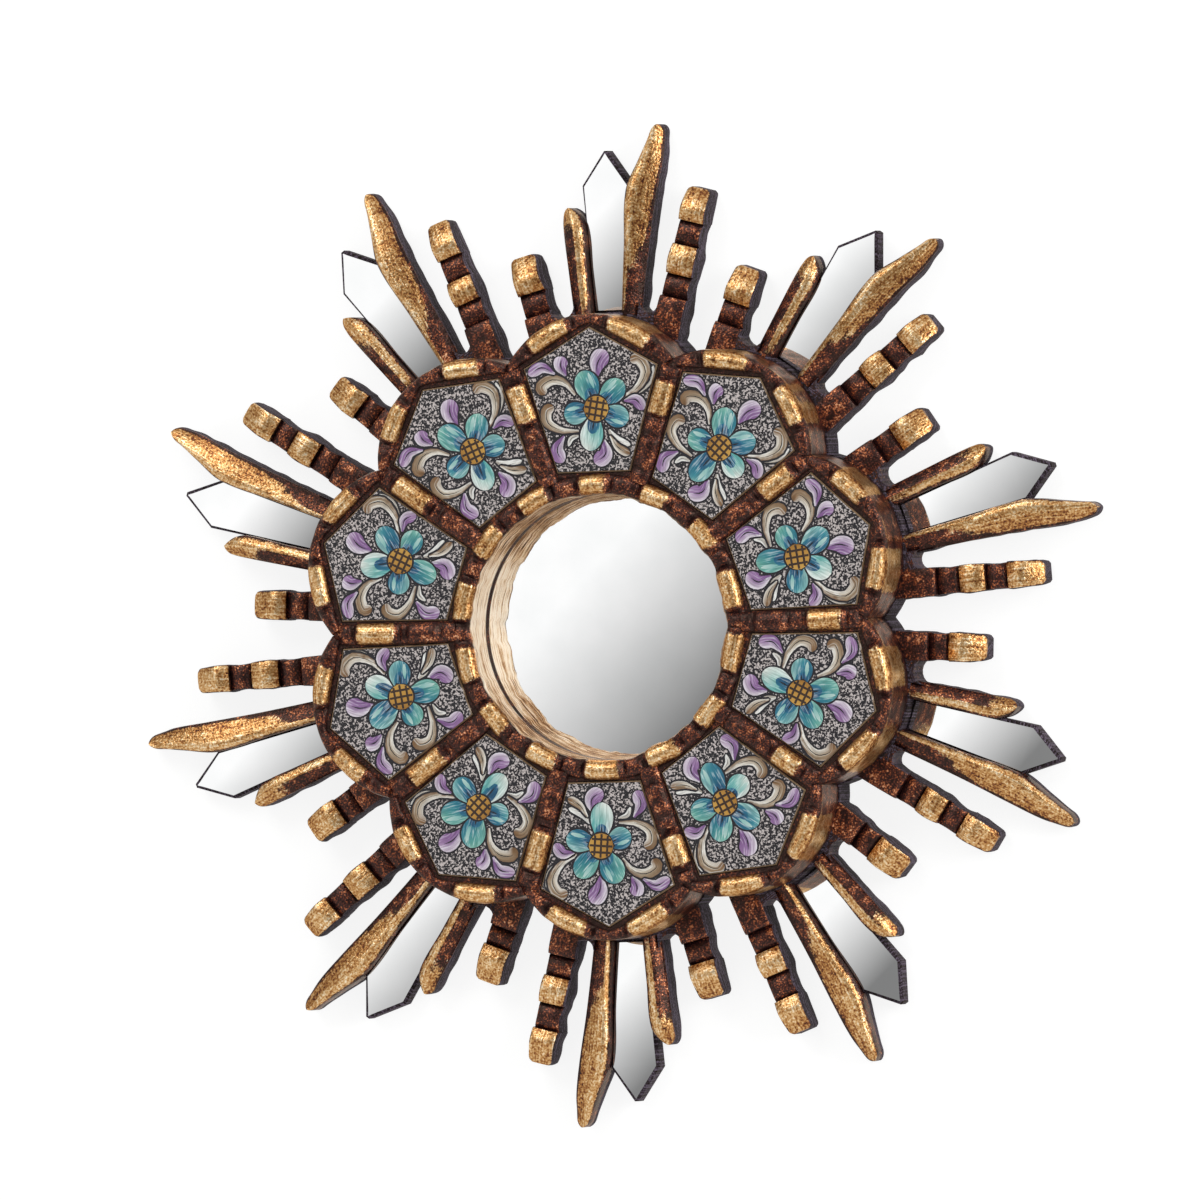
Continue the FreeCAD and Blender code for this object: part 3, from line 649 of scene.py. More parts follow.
def blade(carving, turn, side, style, back, seed):
    """A blade beside a mirror strip; its root is left in the dark ground and its tip is round."""
    stations = style["stations"]
    end = stations[-1][0]
    turns = [math.pi / 2 * i / 6 for i in range(1, 7)]
    tip = [end - TIP_ROUND * (1 - math.sin(t)) for t in turns]
    rows = []
    for along in steps(stations[0][0], end - TIP_ROUND, 1.0) + tip:
        inner, outer, high = through(stations, along)
        past = max(along - (end - TIP_ROUND), 0) / TIP_ROUND
        keep = max(math.sqrt(max(1 - past**2, 0)), 0.15)
        middle = (inner + outer) / 2
        half = (outer - inner) / 2 * keep
        section = blade_section(style, along, middle - half, middle + half, high, seed)
        reach = along - back * ease(STRIP_IN, end, along)
        rows.append([(spot(turn, side * x, reach, y), f) for x, y, f in section])
    carving.skin(rows)


WEB_REACH = 118.0
WEB_TOP = BOARD - 0.6
WEB_BITE = 0.8


def web(carving, turn, side, style, ray):
    """Wood left between a blade and a bead ray, sawn out in a round end."""
    root_out = style["stations"][0][2]
    across = ray["shift"] - side * (ray["halves"][0] - WEB_BITE)
    start = Vector((side * (style["web_out"] - WEB_BITE), WEB_REACH))
    stop = flat_spot(ray["lean"], across, WEB_REACH)
    middle = (start + stop) / 2
    hollow = middle.normalized() * 0.46 * (stop - start).length
    outline = [Vector((side * (root_out - WEB_BITE), BLADE_ROOT)), start]
    for share in steps(0.1, 0.9, 0.1):
        slide = (stop - start) * (-math.cos(math.pi * share) / 2)
        outline.append(middle + slide - hollow * math.sin(math.pi * share))
    outline += [stop, flat_spot(ray["lean"], across, RAY_ROOT)]
    carving.plate(turn, outline, WEB_BACK, WEB_TOP, blend(SLATE, DARK, 0.45))


def lobed_outline(radius):
    """The ten-lobed outline of hub and ring, arc by arc."""
    half_step = math.radians(STEP / 2)
    off = LOBE_PITCH * math.sin(half_step)
    valley = LOBE_PITCH * math.cos(half_step) + math.sqrt(radius**2 - off**2)
    swing = math.atan2(valley * math.sin(half_step), valley * math.cos(half_step) - LOBE_PITCH)
    outline = []
    for group in range(GROUPS):
        for angle in steps(-swing, swing, 0.1)[:-1]:
            across = radius * math.sin(angle)
            outline.append(flat_spot(STEP * group, across, LOBE_PITCH + radius * math.cos(angle)))
    return outline


RECESS_HALF = 27.0
RECESS_LOW = 60.0
RECESS_HIGH = 86.0
RECESS_DEEP = 5.5


def hub(carving):
    """Middle of the board, with the hanger's recess in its back."""
    outline = lobed_outline(LOBE_RADIUS + HUB_LIP)
    recess = [
        (-RECESS_HALF, RECESS_LOW),
        (RECESS_HALF, RECESS_LOW),
        (RECESS_HALF, RECESS_HIGH),
        (-RECESS_HALF, RECESS_HIGH),
    ]
    carving.plate(0, outline, 0.0, RECESS_DEEP, SLATE, [recess])
    carving.plate(0, outline, RECESS_DEEP, HUB_TOP, SLATE)


TONGUE_RIM = 0.9


def tongue(carving, turn):
    """Thin tongue that carries a mirror strip and shows as a dark rim round its point."""
    half = strip_edge(STRIP_SHOULDER) + 0.5 * TONGUE_RIM
    outline = [
        (-strip_edge(BLADE_ROOT), BLADE_ROOT),
        (-half, STRIP_SHOULDER + 0.4),
        (-0.6, STRIP_TIP + TONGUE_RIM),
        (0.8, STRIP_TIP + TONGUE_RIM),
        (half, STRIP_SHOULDER + 0.4),
        (strip_edge(BLADE_ROOT), BLADE_ROOT),
    ]
    carving.plate(turn, outline, TONGUE_BACK, TONGUE_TOP, blend(SLATE, DARK, 0.25))


def ray_board(material):
    """The board with its ten groups of rays, as one piece."""
    carving = Carving()
    hub(carving)
    for group in range(GROUPS):
        turn = STEP * group
        tongue(carving, turn)
        blade(carving, turn, 1, LONG_BLADE, TIP_BACK[group], group + 0.5)
        blade(carving, turn, -1, SHORT_BLADE, 0.0, group + 30.5)
        bead_ray(carving, turn, group + 60.5, **TWIN)
        bead_ray(carving, turn, group + 90.5, **SINGLE)
        web(carving, turn, 1, LONG_BLADE, TWIN)
        web(carving, turn, -1, SHORT_BLADE, SINGLE)
    return carving.build("leafed_ray_board", material, sharp=38)


# Ring

ROLL_MIDDLE = 52.4
ROLL_HALF = 3.3
ROLL_RISE = 2.1
BLOCK_RISE = 1.4
NOTCH_SINK = 1.5
# Where a raised block and its leaf fade out, and where the notch lies, past the block's end
BLOCK_FADE = (-0.7, 0.6)
LEAF_FADE = (-2.3, 1.6)
NOTCH_OFF = 1.5
RING_BLOCKS = 14
RING_BLOCK = 12.0
WALL_LOW = 24.0
WALL_HIGH = 30.0
LAND_SINK = 0.15


def half_round(middle, half, rise, count=8):
    """Points over a half-round moulding as (across, lift), without its feet."""
    turns = [math.pi * (i + 0.5) / count for i in range(count)]
    return [(middle - half * math.cos(t), rise * math.sin(t) ** 0.8) for t in turns]


def relief(off, length):
    """Shares of raised block, of its leaf and of the notch at its ends, by the way off its middle."""
    past = abs(off) - length / 2
    notch = math.exp(-((past - NOTCH_OFF) ** 2))
    return 1 - ease(*BLOCK_FADE, past), 1 - ease(*LEAF_FADE, past), notch


def moulding_finish(leafed, notch, lift_share):
    """Leaf on the blocks, bare copper-flecked ground between them, darkest in the notches."""
    # Ground darkens towards the feet of the moulding as painted shade, and is darkest in the notches
    between = blend(COPPER, DARK, max(notch, 0.7 - lift_share))
    # Leaf goes from painted shade low on the sides to a painted highlight on top
    return blend(between, blend(LEAF_PAINTED_SHADE, LEAF_PAINTED_HIGHLIGHT, ease(0.2, 1, lift_share)), leafed)


def moulding(row, middle, half, rise, block, leafed, notch):
    """Add the points over a moulding to a row of (across, height, finish)."""
    lifted = rise + BLOCK_RISE * block - NOTCH_SINK * notch
    for across, lift in half_round(middle, half, lifted):
        row.append((across, LAND + lift, moulding_finish(leafed, notch, lift / lifted)))


def inner_ring(carving):
    """Wall of the well and the roll round it, with raised leafed blocks."""
    rows = []
    pitch = 360 / RING_BLOCKS
    for turn in steps(0, 360, 1.0)[:-1]:
        number = round(turn / pitch) % RING_BLOCKS
        middle = round(turn / pitch) * pitch + 2.5 * wander(number * 3.0, 22)
        length = RING_BLOCK + 5.0 * wander(number * 4.0, 21)
        block, leafed, notch = relief(math.radians(turn - middle) * ROLL_MIDDLE, length)
        facet = 1 - 4 * (turn / pitch - round(turn / pitch)) ** 2
        scallop = 1.3 * wander(turn, 23, 9) + 0.4 * wander(turn, 25, 2.4) - 0.8 * facet
        # The well wall is painted lighter at its left side and darker elsewhere: painted light and painted
        # shade, with a little random unevenness
        painted_light_leftness = -math.sin(math.radians(turn)) + 0.25 * wander(turn, 26, 20)
        wall = blend(WELL_PAINTED_SHADE, WELL_PAINTED_LIT, ease(0.65, 1.0, painted_light_leftness))
        row = [
            (WELL_RADIUS + 0.4, BOARD + 0.1, DARK),
            (WELL_RADIUS, MIRROR_FACE + 0.7, DARK),
            (WELL_RADIUS, MIRROR_FACE + 1.0, wall),
            (WELL_RADIUS + 0.15, WALL_LOW, wall),
            (WELL_RADIUS + 0.1 + 0.4 * scallop, WALL_HIGH, wall),
            (WELL_RADIUS + 0.1 + scallop, LAND - 0.4 * (1 + 2 * notch), wall),
        ]
        rise = ROLL_RISE + 0.5 * wander(turn, 24, 5)
        half = ROLL_HALF + 0.3 * block
        moulding(row, ROLL_MIDDLE + 0.5 * scallop, half, rise, block, leafed, notch)
        row.append((ROLL_MIDDLE + ROLL_HALF + 0.5, LAND - 0.6, DARK))
        rows.append([(spot(turn, 0, across, high), f) for across, high, f in row])
    carving.skin(rows, around=True)


BAR_IN = 54.5
BAR_OUT = 101.6
BAR_HALF = 3.7
BAR_RISE = 2.2
BAR_FADE = (96.5, 100.5)
BAR_BLOCK = 13.5
BAR_BLOCK_AT = 85.0
BARE_BLOCK = 10.5
BARE_BLOCK_AT = 66.0


def bar(carving, number):
    """Half-round bar between two panes, with a raised leafed block and a bare one."""
    turn = STEP * (number + 0.5)
    middle = BAR_BLOCK_AT + 4.0 * wander(number * 5.0, 31)
    length = BAR_BLOCK + 5.0 * wander(number * 4.0, 32)
    bare_middle = BARE_BLOCK_AT + 3.0 * wander(number * 5.0, 34)
    rows = []
    for along in steps(BAR_IN, BAR_OUT, ROW_PITCH):
        block, leafed, notch = relief(along - middle, length)
        bare_block, _, bare_notch = relief(along - bare_middle, BARE_BLOCK)
        block = max(block, 0.7 * bare_block)
        notch = max(notch, 0.7 * bare_notch)
        fade = 1 - ease(*BAR_FADE, along)
        rise = (BAR_RISE + 0.5 * wander(along, number + 33, 5)) * fade
        half = BAR_HALF + 0.3 * block
        lean = 0.25 * wander(along, number + 50, 12)
        row = [(-half - 0.2, LAND - 1.0, DARK)]
        moulding(row, lean, half, max(rise, 0.05), block, leafed, notch * fade)
        row.append((half + 0.2, LAND - 1.0, DARK))
        rows.append([(spot(turn, across, along, high), f) for across, high, f in row])
    carving.skin(rows)


GABLE = math.atan2(PANE_APEX - PANE_SHOULDER, PANE_SHOULDER_HALF)
GABLE_LENGTH = math.hypot(PANE_APEX - PANE_SHOULDER, PANE_SHOULDER_HALF)
GROOVE = 2.0
BORDER_RISE = 2.1
BORDER_WIDTH = 6.8
BORDER_BLOCK = 14.0
BORDER_OVERRUN = 1.8
# Half a border's length for its unevenness, and the half width under which it is carved lower
BORDER_RUN = 60
FULL_HALF = 2.2
LOBE_SWING = math.radians(57.4)


def lobe_border(carving, group):
    """Moulding of one lobe between the gable of the pane and the lobe's edge, and its wall."""
    rows = []
    for share in steps(-1, 1, 0.022):
        side = math.copysign(1, share)
        run = abs(share) * (GABLE_LENGTH + BORDER_OVERRUN)
        inner = Vector((side * run * math.cos(GABLE), PANE_APEX - run * math.sin(GABLE)))
        arc = LOBE_SWING * share
        reach = LOBE_RADIUS + 0.25 * wander(share * BORDER_RUN, group + 70, 8)
        outer = Vector((reach * math.sin(arc), LOBE_PITCH + reach * math.cos(arc)))
        out = (outer - inner).normalized()
        width = (outer - inner).length
        seed = group * 2 + (side > 0)
        length = BORDER_BLOCK + 5.0 * wander(seed * 3.0, 41)
        off = run - GABLE_LENGTH / 2 - 2.5 * wander(seed * 4.0, 42)
        block, leafed, notch = relief(off, length)
        low = min(GROOVE, 0.3 * width)
        middle = (low + min(width - 0.4, low + BORDER_WIDTH)) / 2
        half = middle - low
        rise = BORDER_RISE * min(1, half / FULL_HALF) + 0.5 * wander(share * BORDER_RUN, group + 80, 5)
        row = [(low - 0.2, LAND - 1.0, DARK)]
        moulding(row, middle, half, rise, block, leafed, notch * min(1, half / FULL_HALF))
        gilt = ease(-0.2, 0.5, leafed - 0.3 + 0.9 * wander(share * BORDER_RUN, group + 85, 9))
        wall = blend(COPPER, OUTER_WALL_PAINTED_LIGHT, gilt)
        rim = blend(wall, moulding_finish(leafed, notch, 0.4), 0.5)
        # The row at the rim is toned lighter as a painted highlight
        row += [
            (middle + half + 0.1, LAND + 0.1, rim),
            (width - 0.15, LAND - 0.8, blend(wall, LEAF_PAINTED_HIGHLIGHT, 0.6)),
        ]
        for high in steps(HUB_TOP - 0.2, LAND - 2.2, 3.2)[::-1]:
            lump = 0.45 * wander(share * BORDER_RUN, group + 90 + 0.05 * high, 6)
            finish = blend(DARK, wall, ease(HUB_TOP - 1, HUB_TOP + 5, high))
            row.append((width - 0.25 + lump, high, finish))
        places = [(inner + out * across, high, f) for across, high, f in row]
        rows.append([(spot(STEP * group, p.x, p.y, high), f) for p, high, f in places])
    carving.skin(rows)


def inset(outline, gap):
    """A convex outline, given clockwise, moved inwards on every side."""
    moved = []
    count = len(outline)
    for i, here in enumerate(outline):
        before = (here - outline[i - 1]).normalized()
        after = (outline[(i + 1) % count] - here).normalized()
        way = Vector((before.y, -before.x)) + Vector((after.y, -after.x))
        moved.append(here + way * (gap * 2 / way.length_squared))
    return moved


PANE_OUTLINE = [
    Vector((0, PANE_APEX)),
    Vector((PANE_SHOULDER_HALF, PANE_SHOULDER)),
    Vector((PANE_BASE_HALF, PANE_BASE)),
    Vector((-PANE_BASE_HALF, PANE_BASE)),
    Vector((-PANE_SHOULDER_HALF, PANE_SHOULDER)),
]
PANE_PLAY = 0.3


def land(carving):
    """Flat ground of the ring between its mouldings, open for the panes and the well."""
    holes = [[flat_spot(turn, 0, ROLL_MIDDLE) for turn in steps(0, 360, 6)[:-1]]]
    seat = inset(PANE_OUTLINE, -PANE_PLAY)
    for group in range(GROUPS):
        holes.append([flat_spot(STEP * group, x, y) for x, y in seat])
    carving.plate(0, lobed_outline(LOBE_RADIUS - 0.8), BOARD, LAND - LAND_SINK, DARK, holes)


def carved_ring(material):
    """The lobed ring with its land, roll, bars and borders, as one piece."""
    carving = Carving()
    land(carving)
    inner_ring(carving)
    for number in range(GROUPS):
        bar(carving, number)
        lobe_border(carving, number)
    return carving.build("leafed_ring", material, sharp=50)


# Mirrors, bowed a little as thin sheet glued by hand is

STRIP_CURVE = 480.0
ROUND_CURVE = 1050.0


def mirror_strip(number, material):
    """Pointed strip of mirror glass on its tongue."""
    rows = []
    middle = (STRIP_IN + STRIP_TIP) / 2
    for along in sorted({*steps(STRIP_IN, STRIP_TIP, 1.6), STRIP_SHOULDER}):
        if along <= STRIP_SHOULDER:
            half = strip_edge(along) - STRIP_GAP
        else:
            half = STRIP_SHOULDER_HALF * (STRIP_TIP - along) / (STRIP_TIP - STRIP_SHOULDER)
        half = max(half, 0.05)
        row = [(-half, TONGUE_TOP)]
        for share in steps(-1, 1, 0.2):
            across = share * max(half - 0.1, 0.02)
            bow = ((along - middle) ** 2 + across**2) / (2 * STRIP_CURVE)
            row.append((across, STRIP_FACE - bow))
        row.append((half, TONGUE_TOP))
        rows.append([(spot(STEP * number, x, along, y), SLATE) for x, y in row])
    carving = Carving()
    carving.skin(rows)
    return carving.build(f"mirror_strip_{number + 1:02d}", material, sharp=40)


def round_mirror(material):
    """Round mirror at the foot of the well."""
    rows = []
    radii = [0.02, *steps(2.0, MIRROR_RADIUS, 2.5)]
    levels = [(radius, MIRROR_FACE - radius**2 / (2 * ROUND_CURVE)) for radius in radii]
    for radius, high in [*levels, (MIRROR_RADIUS, BOARD)]:
        rows.append([(spot(turn, 0, radius, high), SLATE) for turn in steps(0, 360, 3)[:-1]])
    carving = Carving()
    carving.skin(rows)
    return carving.build("round_mirror", material, sharp=40)


# Painted panes

INK = "#15121A"
INK_EDGE = 0.75
LILAC = (("#744E86", "#9C78A8", "#C2A8C6"), ("#F0EAEE", "#8C6098"))
SCROLL = (("#D2CABC", "#B9A78C", "#8C6A46", "#75512F"), ("#EEEAE2", "#7A5632"))
SCROLL_BACK = (SCROLL[0], SCROLL[1][::-1])
WHITE = (("#B9B2A8", "#E4E2DC", "#EFEFEA"), ("#F4F4F0", "#B4AA9C"))
DISC = (("#9A6A26", "#C08E3C", "#CFA24E"), ())
LATTICE = ("#2E1C0E", "#3C2613")
SEA_GREEN = (("#124C6A", "#2F8690", "#62ABA0", "#A4D0C0"), ("#7FBDAE", "#237890"))
DEEP_TEAL = (("#0F4463", "#1F718C", "#3C92A0", "#7DBBB8"), ("#9ACCC4", "#1B6684"))
PALE_TEAL = (("#2A8A9C", "#82C0B8", "#CFE0D8", "#E8EEE6"), ("#58ACA8", "#F0F4EE"))

# Flower petals: angle, reach of the tip, half width, paint
PETALS = [
    (114.0, 14.8, 4.6, SEA_GREEN),
    (47.0, 14.1, 4.3, SEA_GREEN),
    (-17.0, 13.0, 4.1, DEEP_TEAL),
    (-98.0, 15.4, 4.3, PALE_TEAL),
    (194.0, 12.2, 4.1, DEEP_TEAL),
]
# Brush strokes, tail to head, with their half widths
LEAVES = [
    ([(2.4, 91.0), (3.0, 96.2), (6.2, 100.6)], 3.4),
    ([(-9.2, 91.6), (-11.0, 95.2), (-10.2, 98.6)], 2.7),
    ([(-13.4, 92.4), (-18.4, 94.8), (-23.4, 92.4)], 2.2),
    ([(12.6, 82.0), (17.0, 82.2), (20.0, 78.6)], 2.2),
    ([(-10.6, 69.8), (-13.4, 65.0), (-11.6, 60.2)], 2.6),
    ([(4.6, 68.0), (5.0, 62.8), (0.8, 59.6)], 3.0),
]
SCROLLS = [
    ([(-6.4, 84.6), (-10.0, 89.0), (-15.0, 90.4), (-19.2, 88.0), (-17.8, 85.2)], 2.2, SCROLL),
    ([(-5.4, 71.4), (-12.0, 71.8), (-17.0, 74.6), (-17.4, 79.0), (-14.6, 80.4)], 2.1, SCROLL_BACK),
    ([(11.2, 82.9), (17.4, 86.2), (20.9, 92.0), (18.6, 96.8), (15.2, 96.4)], 2.2, SCROLL),
    ([(6.8, 69.4), (9.6, 65.2), (14.0, 62.4)], 1.5, SCROLL_BACK),
]
WHITES = [
    ([(15.6, 83.6), (21.6, 88.8), (23.4, 94.4)], 1.1),
    ([(5.9, 71.6), (8.4, 68.0), (13.8, 65.8)], 1.6),
    ([(-4.8, 70.0), (-8.2, 69.0), (-9.6, 66.2)], 0.9),
]
FLOWER = (1.6, 79.8)
PETAL_ROOT = 3.0
ROOT_BLUE = (("#0E4465", "#1B6A90"), ("#2A8098", "#114E72"))
HIGHLIGHT = ("#7FBDB8", "#C6DFD8")
DISC_RADIUS = 4.6
DISC_STEPS = 14
LATTICE_PITCH = 2.4
LATTICE_HALF = 0.42
EDGE_PAINT = "#8E765C"
# The speckled ground shows where no stroke covers it
NO_PAINT = (0.2, 0.2, 0.2, 0.0)
# Shares along a stroke, closer together at its round head
STROKE_SHARES = [math.sin(math.pi / 2 * i / 15) for i in range(16)]

# Hair lines run along a stroke; ink and gold are laid on flat
BRUSH_DRAW = 0.12
NO_HAIRS = (0.0, 0.0, 0.0)


def inside(outline, place):
    """Whether a place lies within a closed outline."""
    held = False
    for a, b in zip(outline, outline[1:] + outline[:1]):
        if (a.y > place.y) != (b.y > place.y):
            held ^= place.x < (b.x - a.x) * (place.y - a.y) / (b.y - a.y) + a.x
    return held


class Shape:
    """One painted shape: a brush line, its half widths, its colours along it and at its sides."""

    def __init__(self, line, widths, colours, sides=(), grow=0.0):
        self.line = line
        self.widths = [width + grow for width in widths]
        self.colours = [colour(code)[:3] for code in colours]
        self.sides = [colour(code)[:3] for code in sides]
        offsets = [self.leftward(i) * width for i, width in enumerate(self.widths)]
        start = (line[0] - line[1]).normalized() * (grow + 0.2 * widths[0])
        stop = (line[-1] - line[-2]).normalized() * (grow + 0.2 * widths[-1])
        left = [place + offset for place, offset in zip(line, offsets)]
        right = [place - offset for place, offset in zip(line, offsets)]
        self.outline = [line[0] + start, *left, line[-1] + stop, *right[::-1]]
        self.low = Vector(map(min, zip(*self.outline)))
        self.high = Vector(map(max, zip(*self.outline)))

    def leftward(self, i):
        """The way to the left of the brush line at one of its points."""
        ahead = self.line[min(i + 1, len(self.line) - 1)] - self.line[max(i - 1, 0)]
        return Vector((-ahead.y, ahead.x)).normalized()

    def holds(self, place):
        """Whether a place lies within the shape; most are ruled out by its box."""
        if not (self.low.x < place.x < self.high.x and self.low.y < place.y < self.high.y):
            return False
        return inside(self.outline, place)

    def shade(self, place):
        """Colour and hair lines of the brush at a place; the sides have colours of their own."""
        near = min(range(len(self.line)), key=lambda i: (self.line[i] - place).length_squared)
        share = near / (len(self.line) - 1) * (len(self.colours) - 1)
        first = min(int(share), len(self.colours) - 2)
        tint = (*blend(self.colours[first], self.colours[first + 1], share - first), 1.0)
        if not self.sides:
            return tint, NO_HAIRS
        off = place - self.line[near]
        across = off.dot(self.leftward(near))
        reach = min(off.length / max(self.widths[near], 0.1), 1)
        side = self.sides[0 if across > 0 else 1]
        tint = blend(tint, (*side, 1.0), reach * (0.95 - 0.5 * near / len(self.line)))
        return tint, (BRUSH_DRAW * (place - self.line[0]).length, across, self.line[0].x)


def drop_widths(wide, peak, tail):
    """Half widths of a drop: thin tail, full belly at the peak, round head."""
    widths = []
    for share in STROKE_SHARES:
        if share < peak:
            widths.append(wide * (tail + (1 - tail) * math.sin(math.pi / 2 * share / peak) ** 1.2))
        else:
            past = (share - peak) / (1 - peak)
            widths.append(wide * math.sqrt(max(1 - past**2, 0.01)))
    return widths


def stroke(points, wide, paint, peak, tail, vein):
    """A brush stroke with its ink outline and a dark vein of a given half width."""
    rows = [(i, *point) for i, point in enumerate(points)]
    line = [Vector(through(rows, share * (len(points) - 1))) for share in STROKE_SHARES]
    widths = drop_widths(wide, peak, tail)
    part = line[2:10]
    fade = [vein * (1 - 0.8 * abs(2 * i / (len(part) - 1) - 1)) for i in range(len(part))]
    return [
        Shape(line, widths, (INK, INK), (), INK_EDGE),
        Shape(line, widths, *paint),
        Shape(part, fade, (INK, INK)),
    ]


def disc(x, y, radius, paint):
    """A round spot of paint with its ink outline."""
    turns = [math.pi * (i + 0.5) / DISC_STEPS for i in range(DISC_STEPS)]
    line = [Vector((x - radius * math.cos(t), y)) for t in turns]
    widths = [radius * math.sin(t) for t in turns]
    return [Shape(line, widths, (INK, INK), (), INK_EDGE), Shape(line, widths, *paint)]


def pane_shapes(number):
    """All painted shapes of one pane, bottom to top, each pane a little different."""

    def shift(points, seed):
        """Move a stroke as a whole, by the play of the hand."""
        dx = wander(number * 6.0 + seed * 2.3, 51)
        dy = wander(number * 6.0 + seed * 2.9, 52)
        return [(x + dx, y + dy) for x, y in points]

    shapes = []
    for i, (points, wide) in enumerate(WHITES):
        shapes += stroke(shift(points, i + 10), wide, WHITE, peak=0.5, tail=0.25, vein=0.1)
    for i, (points, wide, paint) in enumerate(SCROLLS):
        shapes += stroke(shift(points, i), wide, paint, peak=0.78, tail=0.2, vein=0.2)
    for i, (points, wide) in enumerate(LEAVES):
        shapes += stroke(shift(points, i + 40), wide, LILAC, peak=0.68, tail=0.15, vein=0.28)
    centre = Vector(shift([FLOWER], 60)[0])
    swing = 9.0 * wander(number * 5.0, 53)
    for i, (angle, length, wide, paint) in enumerate(PETALS):
        paint = PETALS[(i + number) % len(PETALS)][3] if number % 3 else paint
        turn = math.radians(angle + swing + 5.0 * wander(number * 3.0 + i * 2.0, 54))
        reach = length * (1 + 0.08 * wander(number * 3.0 + i * 4.0, 55))
        way = Vector((math.cos(turn), math.sin(turn)))
        blue = 0.55 + 0.3 * wander(number * 7.0 + i * 3.0, 56)
        full, root = (
            [centre + way * d for d in (PETAL_ROOT, 0.5 * (PETAL_ROOT + end), end)]
            for end in (reach, PETAL_ROOT + blue * (reach - PETAL_ROOT))
        )
        shapes += stroke(full, wide, paint, peak=0.55, tail=0.45, vein=0.3)[:2]
        shapes += stroke(root, 0.55 * wide, ROOT_BLUE, peak=0.4, tail=0.8, vein=0.3)[1:]
        beside = Vector((-way.y, way.x)) * wide * (0.45 if i % 2 else -0.45)
        shine = [centre + way * reach * share + beside for share in (0.5, 0.66, 0.8, 0.9)]
        shapes.append(Shape(shine, (0.2, 0.75, 0.65, 0.2), HIGHLIGHT))
    shapes += disc(*centre, DISC_RADIUS, DISC)
    for offset in (-LATTICE_PITCH, 0.0, LATTICE_PITCH):
        half = math.sqrt(DISC_RADIUS**2 - offset**2) * 0.94
        for lean in (swing - 8, swing + 82):
            angle = math.radians(lean)
            way = Vector((math.cos(angle), math.sin(angle)))
            middle = centre + Vector((-way.y, way.x)) * offset
            line = [middle + way * half * share for share in (-1, -0.4, 0.2, 1)]
            shapes.append(Shape(line, [LATTICE_HALF] * len(line), LATTICE))
    return shapes


def painted_pane(number, material):
    """A pane with a ground edge; its face is cut along the outlines of the painted shapes."""
    turn = STEP * number
    face_outline = inset(PANE_OUTLINE, PANE_BEVEL)
    shapes = pane_shapes(number)
    points = []
    edges = []
    for loop in [face_outline, *(shape.outline for shape in shapes)]:
        first = len(points)
        points += loop
        edges += [(first + i, first + (i + 1) % len(loop)) for i in range(len(loop))]
    for shape in shapes:
        points += shape.line[1:-1]
    flat, _, triangles, *_ = geometry.delaunay_2d_cdt(points, edges, [], 0, 1e-4)

    places = [spot(turn, p.x, p.y, PANE_FACE) for p in flat]
    faces = []
    paints = []
    brushes = []
    for triangle in triangles:
        middle = sum((flat[i] for i in triangle), Vector((0, 0))) / 3
        if not inside(face_outline, middle):
            continue
        top = next((shape for shape in reversed(shapes) if shape.holds(middle)), None)
        faces.append(list(triangle))
        for i in triangle:
            tint, hairs = top.shade(flat[i]) if top else (NO_PAINT, NO_HAIRS)
            paints.append(tint)
            brushes.append(hairs)
    edge_paint = colour(EDGE_PAINT)
    rings = []
    for loop, high in (
        (face_outline, PANE_FACE),
        (PANE_OUTLINE, PANE_FACE - PANE_BEVEL),
        (PANE_OUTLINE, PANE_FACE - PANE_THICK),
    ):
        rings.append(range(len(places), len(places) + len(loop)))
        places += [spot(turn, p.x, p.y, high) for p in loop]
    for one, two in zip(rings, rings[1:]):
        faces += band(one, two)
        paints += [edge_paint] * 4 * len(one)
    faces.append(list(rings[-1])[::-1])
    paints += [edge_paint] * len(rings[-1])

    name = f"flower_pane_{number + 1:02d}"
    mesh = bpy.data.meshes.new(name)
    mesh.from_pydata(places, [], faces)
    lay(mesh, "paint", "FLOAT_COLOR", "CORNER", paints)
    lay(mesh, "brush", "FLOAT_VECTOR", "CORNER", brushes)
    return new_piece(name, mesh, material)


# The object

wood = leafed_wood()
mirror = silvered_glass()
painted = painted_glass()
zinc = zinc_steel()
stand_for(ray_board(wood), "leafed_wood", "sunburst_board")
stand_for(carved_ring(wood), "leafed_wood", "carved_ring")
stand_for(round_mirror(mirror), "mirror_glass", "centre_mirror")
for number in range(GROUPS):
    label = f"{number + 1:02d}"
    stand_for(painted_pane(number, painted), "painted_glass", f"painted_pane_{label}")
    stand_for(mirror_strip(number, mirror), "mirror_glass", f"ray_mirror_{label}")
for name in ("sawtooth_hanger", "hanger_nails"):
    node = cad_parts[name]
    node.data.materials.clear()
    node.data.materials.append(zinc)


# Stage, light and camera

SHEET_REACH = 1.6
SHEET_PAINT = "#858584"
SHEET_GLOW = 0.85
WALL_BEHIND = 0.0015
FLOOR_DOWN = -0.32
FLOOR_FRONT = -0.8


